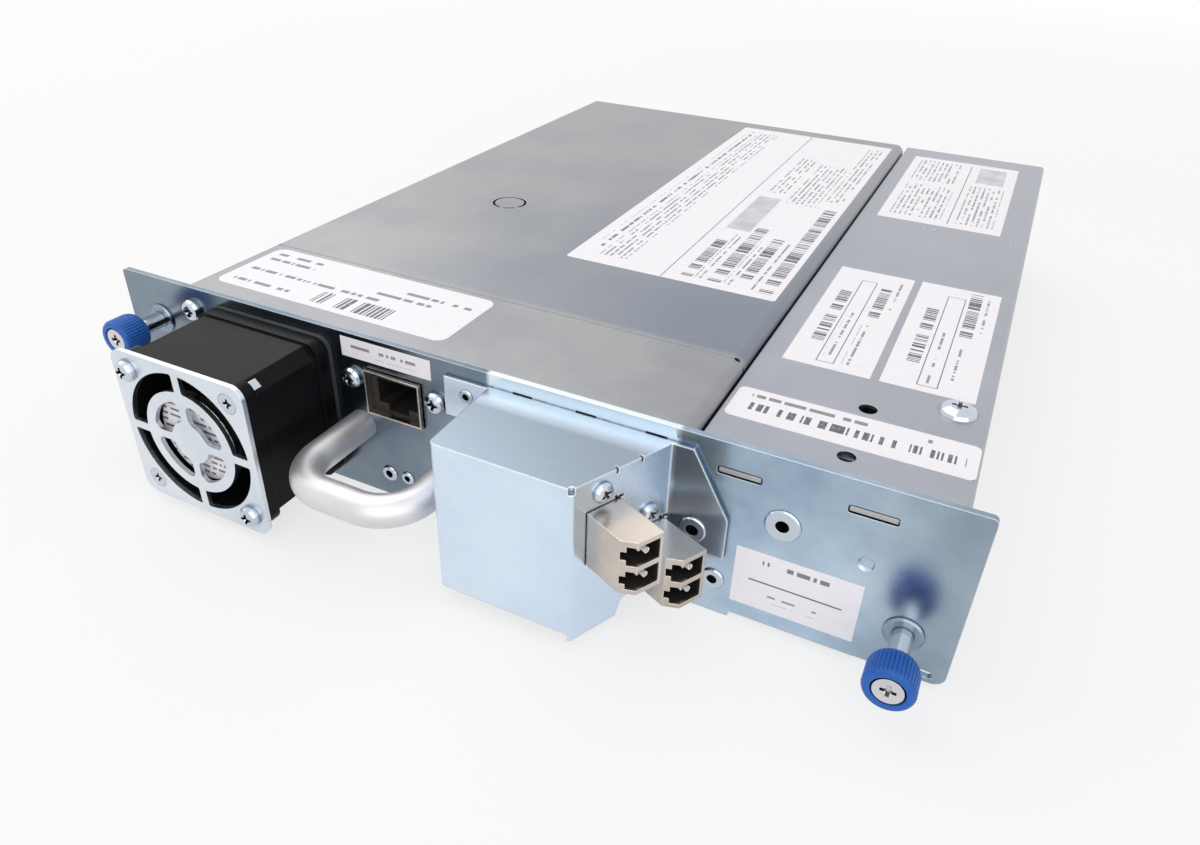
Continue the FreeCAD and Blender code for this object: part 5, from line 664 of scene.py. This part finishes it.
prints = {
    "bars_x": bar_print("bars across", "X"),
    "bars_y": bar_print("bars along", "Y"),
    "rows_x": row_print("rows across", "X", "Y", 3.6, 0.75),
    "rows_y": row_print("rows along", "Y", "X", 2.6, 0.85),
    "fine_y": row_print("fine rows along", "Y", "X", 1.7, 0.7),
    "fine_x": row_print("fine rows across", "X", "Y", 2.2, 0.5),
    "rows_face": row_print("rows on the panel", "X", "Z", 3.4, 0.8),
    "fine_face": row_print("fine rows on the panel", "X", "Z", 2.2, 0.7),
    "hub": row_print("rows on the hub", "X", "Z", 1.8, 0.85),
    "rule": solid_print,
    "smudge": smudge,
}
LABEL_T = 0.02
CORNER_STEPS = 6
COVER_TOP = panel_high.z / MM            # the short and the drive cover lie level with the panel's edge
BAY_NIB = 0.25                           # the bay cover's pressed nibs stand this far above its sheet
BAY_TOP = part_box("bay_cover")[1].z / MM - BAY_NIB


def label(name, x0, x1, y0, y1, top, corner, patches, standing=False):
    """A label lying on a cover at height top, or standing on the panel's face. patches are
    (x0, x1, y0, y1, print) in the same coordinates as the label."""
    shape = bmesh.new()
    bmesh.ops.create_grid(shape, x_segments=1, y_segments=1, size=0.5)
    bmesh.ops.scale(shape, verts=shape.verts, vec=Vector(((x1 - x0), (y1 - y0), 1.0)))
    bmesh.ops.translate(shape, verts=shape.verts, vec=Vector(((x0 + x1) / 2, (y0 + y1) / 2, 0.0)))
    if corner:
        bmesh.ops.bevel(shape, geom=shape.verts[:], offset=corner, affect="VERTICES",
                        segments=CORNER_STEPS, profile=0.5, material=-1)
    cuts = set()
    for px0, px1, py0, py1, kind in patches:
        cuts |= {("x", px0), ("x", px1), ("y", py0), ("y", py1)}
    for axis, value in sorted(cuts):
        way = Vector((1, 0, 0)) if axis == "x" else Vector((0, 1, 0))
        bmesh.ops.bisect_plane(shape, geom=shape.verts[:] + shape.edges[:] + shape.faces[:], dist=1e-5,
                               plane_co=way * value, plane_no=way)
    kinds = sorted({patch[4] for patch in patches})
    for face in shape.faces:
        middle = face.calc_center_median()
        for px0, px1, py0, py1, kind in patches:
            if px0 < middle.x < px1 and py0 < middle.y < py1:
                face.material_index = 1 + kinds.index(kind)
    bmesh.ops.solidify(shape, geom=shape.faces[:], thickness=LABEL_T)
    low = min(vert.co.z for vert in shape.verts)
    bmesh.ops.translate(shape, verts=shape.verts, vec=Vector((0, 0, -low)))
    if standing:
        bmesh.ops.transform(shape, matrix=Matrix.Rotation(math.radians(90), 4, "X"), verts=shape.verts)
    else:
        bmesh.ops.translate(shape, verts=shape.verts, vec=Vector((0, 0, top)))
    bmesh.ops.scale(shape, verts=shape.verts, vec=Vector((MM, MM, MM)))
    bmesh.ops.translate(shape, verts=shape.verts, vec=at(0, 0, 0))
    bmesh.ops.recalc_face_normals(shape, faces=shape.faces)
    return piece_from(shape, name, [paper] + [prints[kind] for kind in kinds], "sled", smooth=False)


label("front_label", 27.2, 101.5, 7.0, 32.6, COVER_TOP, 3.0,
      [(58.3, 82.0, 9.3, 15.6, "bars_x"), (30.0, 50.0, 9.5, 13.1, "rows_x"),
       (30.0, 74.0, 16.8, 20.4, "rows_x"), (30.0, 46.0, 24.6, 31.0, "rows_x"),
       (76.0, 98.0, 24.6, 28.2, "rows_x"), (70.0, 88.0, 20.4, 24.0, "rows_x")])
label("drive_label", 102.0, 165.5, 69.6, 238.5, COVER_TOP, 1.0,
      [(105.5, 108.5, 82.0, 232.0, "rows_y"), (110.0, 118.6, 76.0, 232.0, "fine_y"),
       (131.9, 132.2, 70.0, 238.0, "rule"), (136.5, 140.0, 74.0, 105.0, "bars_y"),
       (140.6, 142.6, 74.0, 112.0, "fine_y"), (144.5, 148.5, 74.0, 121.0, "bars_y"),
       (149.2, 151.2, 74.0, 110.0, "fine_y"), (152.0, 155.6, 80.0, 115.0, "bars_y"),
       (156.4, 158.4, 74.0, 112.0, "fine_y"), (159.6, 163.6, 73.0, 149.0, "bars_y"),
       (135.5, 143.5, 116.0, 152.0, "smudge"), (145.5, 156.0, 150.0, 200.0, "fine_y"),
       (136.0, 142.6, 158.0, 205.0, "fine_y"), (157.5, 163.0, 158.0, 232.0, "fine_y")])
label("bay_label_1", 174.8, 196.2, 45.8, 110.8, BAY_TOP, 0.0,
      [(178.4, 181.6, 59.5, 93.5, "bars_y"), (182.4, 182.65, 49.0, 103.0, "rule"),
       (186.6, 186.85, 49.0, 103.0, "rule"), (182.4, 186.85, 48.8, 49.05, "rule"),
       (182.4, 186.85, 103.0, 103.25, "rule"), (183.4, 185.6, 50.5, 80.0, "fine_y"),
       (188.6, 191.6, 78.0, 100.0, "bars_y"), (188.4, 190.8, 50.0, 74.0, "fine_y"),
       (192.8, 194.6, 84.0, 106.0, "fine_y")])
label("bay_label_2", 198.3, 220.0, 46.0, 111.3, BAY_TOP, 0.0,
      [(202.2, 205.4, 59.5, 94.0, "bars_y"), (206.4, 206.65, 49.0, 104.0, "rule"),
       (211.0, 211.25, 49.0, 104.0, "rule"), (206.4, 211.25, 48.8, 49.05, "rule"),
       (206.4, 211.25, 104.0, 104.25, "rule"), (207.6, 209.8, 50.5, 80.0, "fine_y"),
       (212.2, 215.4, 76.0, 110.0, "bars_y"), (212.4, 214.6, 50.0, 73.0, "fine_y"),
       (216.6, 218.4, 84.0, 108.0, "fine_y")])
label("bay_strip", 170.4, 223.4, 14.9, 28.2, BAY_TOP, 1.6,
      [(174.0, 207.0, 19.0, 22.2, "bars_x"), (174.0, 200.0, 23.4, 26.6, "rows_x"),
       (209.6, 221.0, 19.2, 22.4, "bars_x"), (211.6, 218.0, 23.6, 26.8, "rows_x")])
label("bay_far_label", 174.8, 215.0, 162.3, 244.6, BAY_TOP, 0.0,
      [(178.0, 195.0, 168.0, 206.0, "fine_y"), (197.5, 197.8, 166.0, 240.0, "rule"),
       (200.0, 212.0, 168.0, 214.0, "fine_y"), (178.0, 194.0, 212.0, 240.0, "fine_y"),
       (201.0, 211.0, 219.0, 240.0, "smudge")])
label("port_label", 76.2, 103.0, 39.7, 45.2, 0.0, 0.0, [(78.4, 99.0, 41.0, 44.0, "fine_face")],
      standing=True)
label("panel_label", 181.4, 208.9, 5.3, 21.2, 0.0, 0.3,
      [(187.5, 202.0, 16.6, 19.2, "rows_face"), (185.0, 205.4, 12.9, 13.3, "rule"),
       (189.5, 200.5, 8.0, 10.0, "fine_face")], standing=True)

# ------------------------------------------------------------ hub label
# A round foil label stuck on the flat front of the fan's hub, so it turns with the blades.
# It carries plain short rows and shows through the guard's inner slots.

HUB_LABEL_R = 11.9
hub_low, hub_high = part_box("fan_rotor")
hub_mid = (hub_low + hub_high) / 2
shape = bmesh.new()
bmesh.ops.create_circle(shape, cap_ends=True, segments=64, radius=HUB_LABEL_R * MM)
bmesh.ops.solidify(shape, geom=shape.faces[:], thickness=LABEL_T * MM)
bmesh.ops.transform(shape, matrix=Matrix.Rotation(math.radians(90), 4, "X"), verts=shape.verts)
label_back = max(vert.co.y for vert in shape.verts)
bmesh.ops.translate(shape, verts=shape.verts, vec=Vector((hub_mid.x, hub_low.y - label_back, hub_mid.z)))
bmesh.ops.recalc_face_normals(shape, faces=shape.faces)
piece_from(shape, "hub_label", [prints["hub"]], "fan_rotor", smooth=False)

# ------------------------------------------------------------ fibre sleeves
# White ceramic sleeves that centre the fibres, ground to size and pressed into the bores of the
# two transceivers, one sleeve in each port.

ceramic = moulding("white ceramic", (0.8, 0.78, 0.76), (0.86, 0.84, 0.82), (0.9, 0.9, 0.9),
                   roughness=0.15, dust=0.0, recess_shade=0.0)
SLANT_FRONT = at(154.0, -25.4, 0.0)      # front and rear edge of the box's slanted face
SLANT_REAR = at(165.7, 0.0, 0.0)
SLEEVE_R, SLEEVE_WALL, SLEEVE_L = 0.72, 0.3, 5.7
SLEEVE_TAPER = 0.94                      # the tip's radius, as a share of SLEEVE_R
SLEEVE_OUT = 6.8                         # from the slanted face to the sleeve's root
PORT_RISE = 3.125                        # from a transceiver's middle to each of its two ports
TRANSCEIVERS = ((9.2, 28.75), (22.3, 17.15))      # along the slanted face, and height of the middle
slant_way = (SLANT_REAR - SLANT_FRONT).normalized()
slant_out = Vector((slant_way.y, -slant_way.x, 0.0))
for number, (along, height) in enumerate(TRANSCEIVERS, 1):
    for port, rise in (("lower", -PORT_RISE), ("upper", PORT_RISE)):
        shape = bmesh.new()
        bmesh.ops.create_cone(shape, cap_ends=False, segments=32, radius1=SLEEVE_R * MM,
                              radius2=SLEEVE_R * SLEEVE_TAPER * MM, depth=SLEEVE_L * MM)
        bmesh.ops.recalc_face_normals(shape, faces=shape.faces)
        bmesh.ops.solidify(shape, geom=shape.faces[:], thickness=SLEEVE_WALL * MM)
        aim = slant_out.to_track_quat("Z", "Y").to_matrix().to_4x4()
        bmesh.ops.transform(shape, matrix=aim, verts=shape.verts)
        middle = SLANT_FRONT + (slant_way * along + slant_out * (SLEEVE_OUT + SLEEVE_L / 2)) * MM
        middle.z = (height + rise) * MM
        bmesh.ops.translate(shape, verts=shape.verts, vec=middle)
        bmesh.ops.recalc_face_normals(shape, faces=shape.faces)
        piece_from(shape, "fibre_sleeve_%d_%s" % (number, port), [ceramic], "sled")

# ------------------------------------------------------------ fan lead clip
# A small clip pressed from plated strip, which holds the fan's leads inside. It lies on the
# bevel of the fan frame's top right edge.

CLIP_W, CLIP_L, CLIP_T, CLIP_ROUND = 2.4, 3.4, 0.3, 0.1
shape = bmesh.new()
bmesh.ops.create_grid(shape, x_segments=3, y_segments=3, size=0.5)
bmesh.ops.scale(shape, verts=shape.verts, vec=Vector((CLIP_W, CLIP_L, 1.0)))
bmesh.ops.solidify(shape, geom=shape.faces[:], thickness=CLIP_T)
bmesh.ops.recalc_face_normals(shape, faces=shape.faces)
rims = [edge for edge in shape.edges if edge.calc_face_angle(0.0) > 1.0]
bmesh.ops.bevel(shape, geom=rims, offset=CLIP_ROUND, affect="EDGES", segments=2, profile=0.5, material=-1)
bmesh.ops.transform(shape, matrix=Matrix.Rotation(math.radians(45), 4, "Y"), verts=shape.verts)
bmesh.ops.scale(shape, verts=shape.verts, vec=Vector((MM, MM, MM)))
bmesh.ops.translate(shape, verts=shape.verts, vec=at(71.55, -24.6, 42.25))
bmesh.ops.recalc_face_normals(shape, faces=shape.faces)
piece_from(shape, "fan_lead_clip", [screw_zinc], "sled")

# ------------------------------------------------------------ studio
# A plain pale floor that fades to white away from the drive, a white surround, and two large
# soft lamps: one high on the left, one low in front on the right.

FLOOR_DROP = 0.0003                      # the floor lies this far below the tray, so no faces coincide
FLOOR_HALF = 3.0
FLOOR_NEAR, FLOOR_FAR = 0.3, 1.1         # the fade to white starts and ends this far out
FLOOR_WHITE = 0.72                       # share of plain white in the floor under the drive


def seen_directly(tree):
    """1 for rays from the camera, from gloss and through glass."""
    rays = tree.nodes.new("ShaderNodeLightPath").outputs
    mirrored = calc(tree, "MAXIMUM", rays["Is Glossy Ray"], rays["Is Transmission Ray"])
    return calc(tree, "MAXIMUM", rays["Is Camera Ray"], mirrored)


shape = bmesh.new()
bmesh.ops.create_grid(shape, x_segments=1, y_segments=1, size=FLOOR_HALF)
bmesh.ops.translate(shape, verts=shape.verts, vec=Vector((0, 0, cad_low.z - FLOOR_DROP)))
floor_mesh = bpy.data.meshes.new("floor")
shape.to_mesh(floor_mesh)
shape.free()
floor = bpy.data.objects.new("floor", floor_mesh)
bpy.context.scene.collection.objects.link(floor)
floor_paint = bpy.data.materials.new("studio floor")
floor_paint.use_nodes = True
tree = floor_paint.node_tree
tree.nodes.clear()
matt = put(tree, "ShaderNodeBsdfDiffuse", {"Color": (0.85, 0.85, 0.85, 1)})
white = put(tree, "ShaderNodeEmission", {"Color": (1, 1, 1, 1), "Strength": 1.0})
distance = put(tree, "ShaderNodeVectorMath", {0: spot_of(tree)}, operation="LENGTH").outputs["Value"]
fade = remap(tree, distance, FLOOR_NEAR, FLOOR_FAR, FLOOR_WHITE, 1.0)
mixed = put(tree, "ShaderNodeMixShader",
            {0: product(tree, seen_directly(tree), fade), 1: matt.outputs[0], 2: white.outputs[0]})
put(tree, "ShaderNodeOutputMaterial", {"Surface": mixed.outputs[0]})
floor_mesh.materials.append(floor_paint)

world = bpy.data.worlds.new("studio")
bpy.context.scene.world = world
world.use_nodes = True
tree = world.node_tree
tree.nodes.clear()
soft_sky = put(tree, "ShaderNodeBackground", {"Color": (1, 1, 1, 1), "Strength": 0.55})
white_sky = put(tree, "ShaderNodeBackground", {"Color": (1, 1, 1, 1), "Strength": 1.0})
mixed = put(tree, "ShaderNodeMixShader",
            {0: seen_directly(tree), 1: soft_sky.outputs[0], 2: white_sky.outputs[0]})
put(tree, "ShaderNodeOutputWorld", {"Surface": mixed.outputs[0]})


def soft_lamp(name, place, width, power):
    """A square area lamp in metres and watts, turned to the drive's middle."""
    data = bpy.data.lights.new(name, "AREA")
    data.size = width
    data.energy = power
    lamp = bpy.data.objects.new(name, data)
    bpy.context.scene.collection.objects.link(lamp)
    lamp.location = place
    lamp.rotation_euler = (-Vector(place)).to_track_quat("-Z", "Y").to_euler()


soft_lamp("key lamp", (-0.5, 0.1, 0.9), 1.2, 5.2)
soft_lamp("fill lamp", (0.55, -0.9, 0.45), 1.6, 7.6)

# the camera stands in front on the right and looks down on the panel and the covers
AZIMUTH, ELEVATION, ROLL = math.radians(25.59), math.radians(31.60), math.radians(1.79)
CAMERA_PLACE = Vector((0.1015, -0.2733, 0.1474))
camera_data = bpy.data.cameras.new("camera")
camera_data.sensor_width = 36.0
camera_data.lens = 26.435
camera_data.shift_x = 0.0044
camera_data.shift_y = -0.0216
camera_data.clip_start = 0.01
camera = bpy.data.objects.new("camera", camera_data)
bpy.context.scene.collection.objects.link(camera)
bpy.context.scene.camera = camera
back = Vector((math.sin(AZIMUTH) * math.cos(ELEVATION), -math.cos(AZIMUTH) * math.cos(ELEVATION),
               math.sin(ELEVATION)))
level = (-back).cross(Vector((0, 0, 1))).normalized()
upright = level.cross(-back)
sideways = level * math.cos(ROLL) + upright * math.sin(ROLL)
above = upright * math.cos(ROLL) - level * math.sin(ROLL)
turn = Matrix((sideways, above, back)).transposed().to_4x4()
camera.matrix_world = Matrix.Translation(CAMERA_PLACE) @ turn

bpy.context.scene.view_settings.view_transform = "Standard"
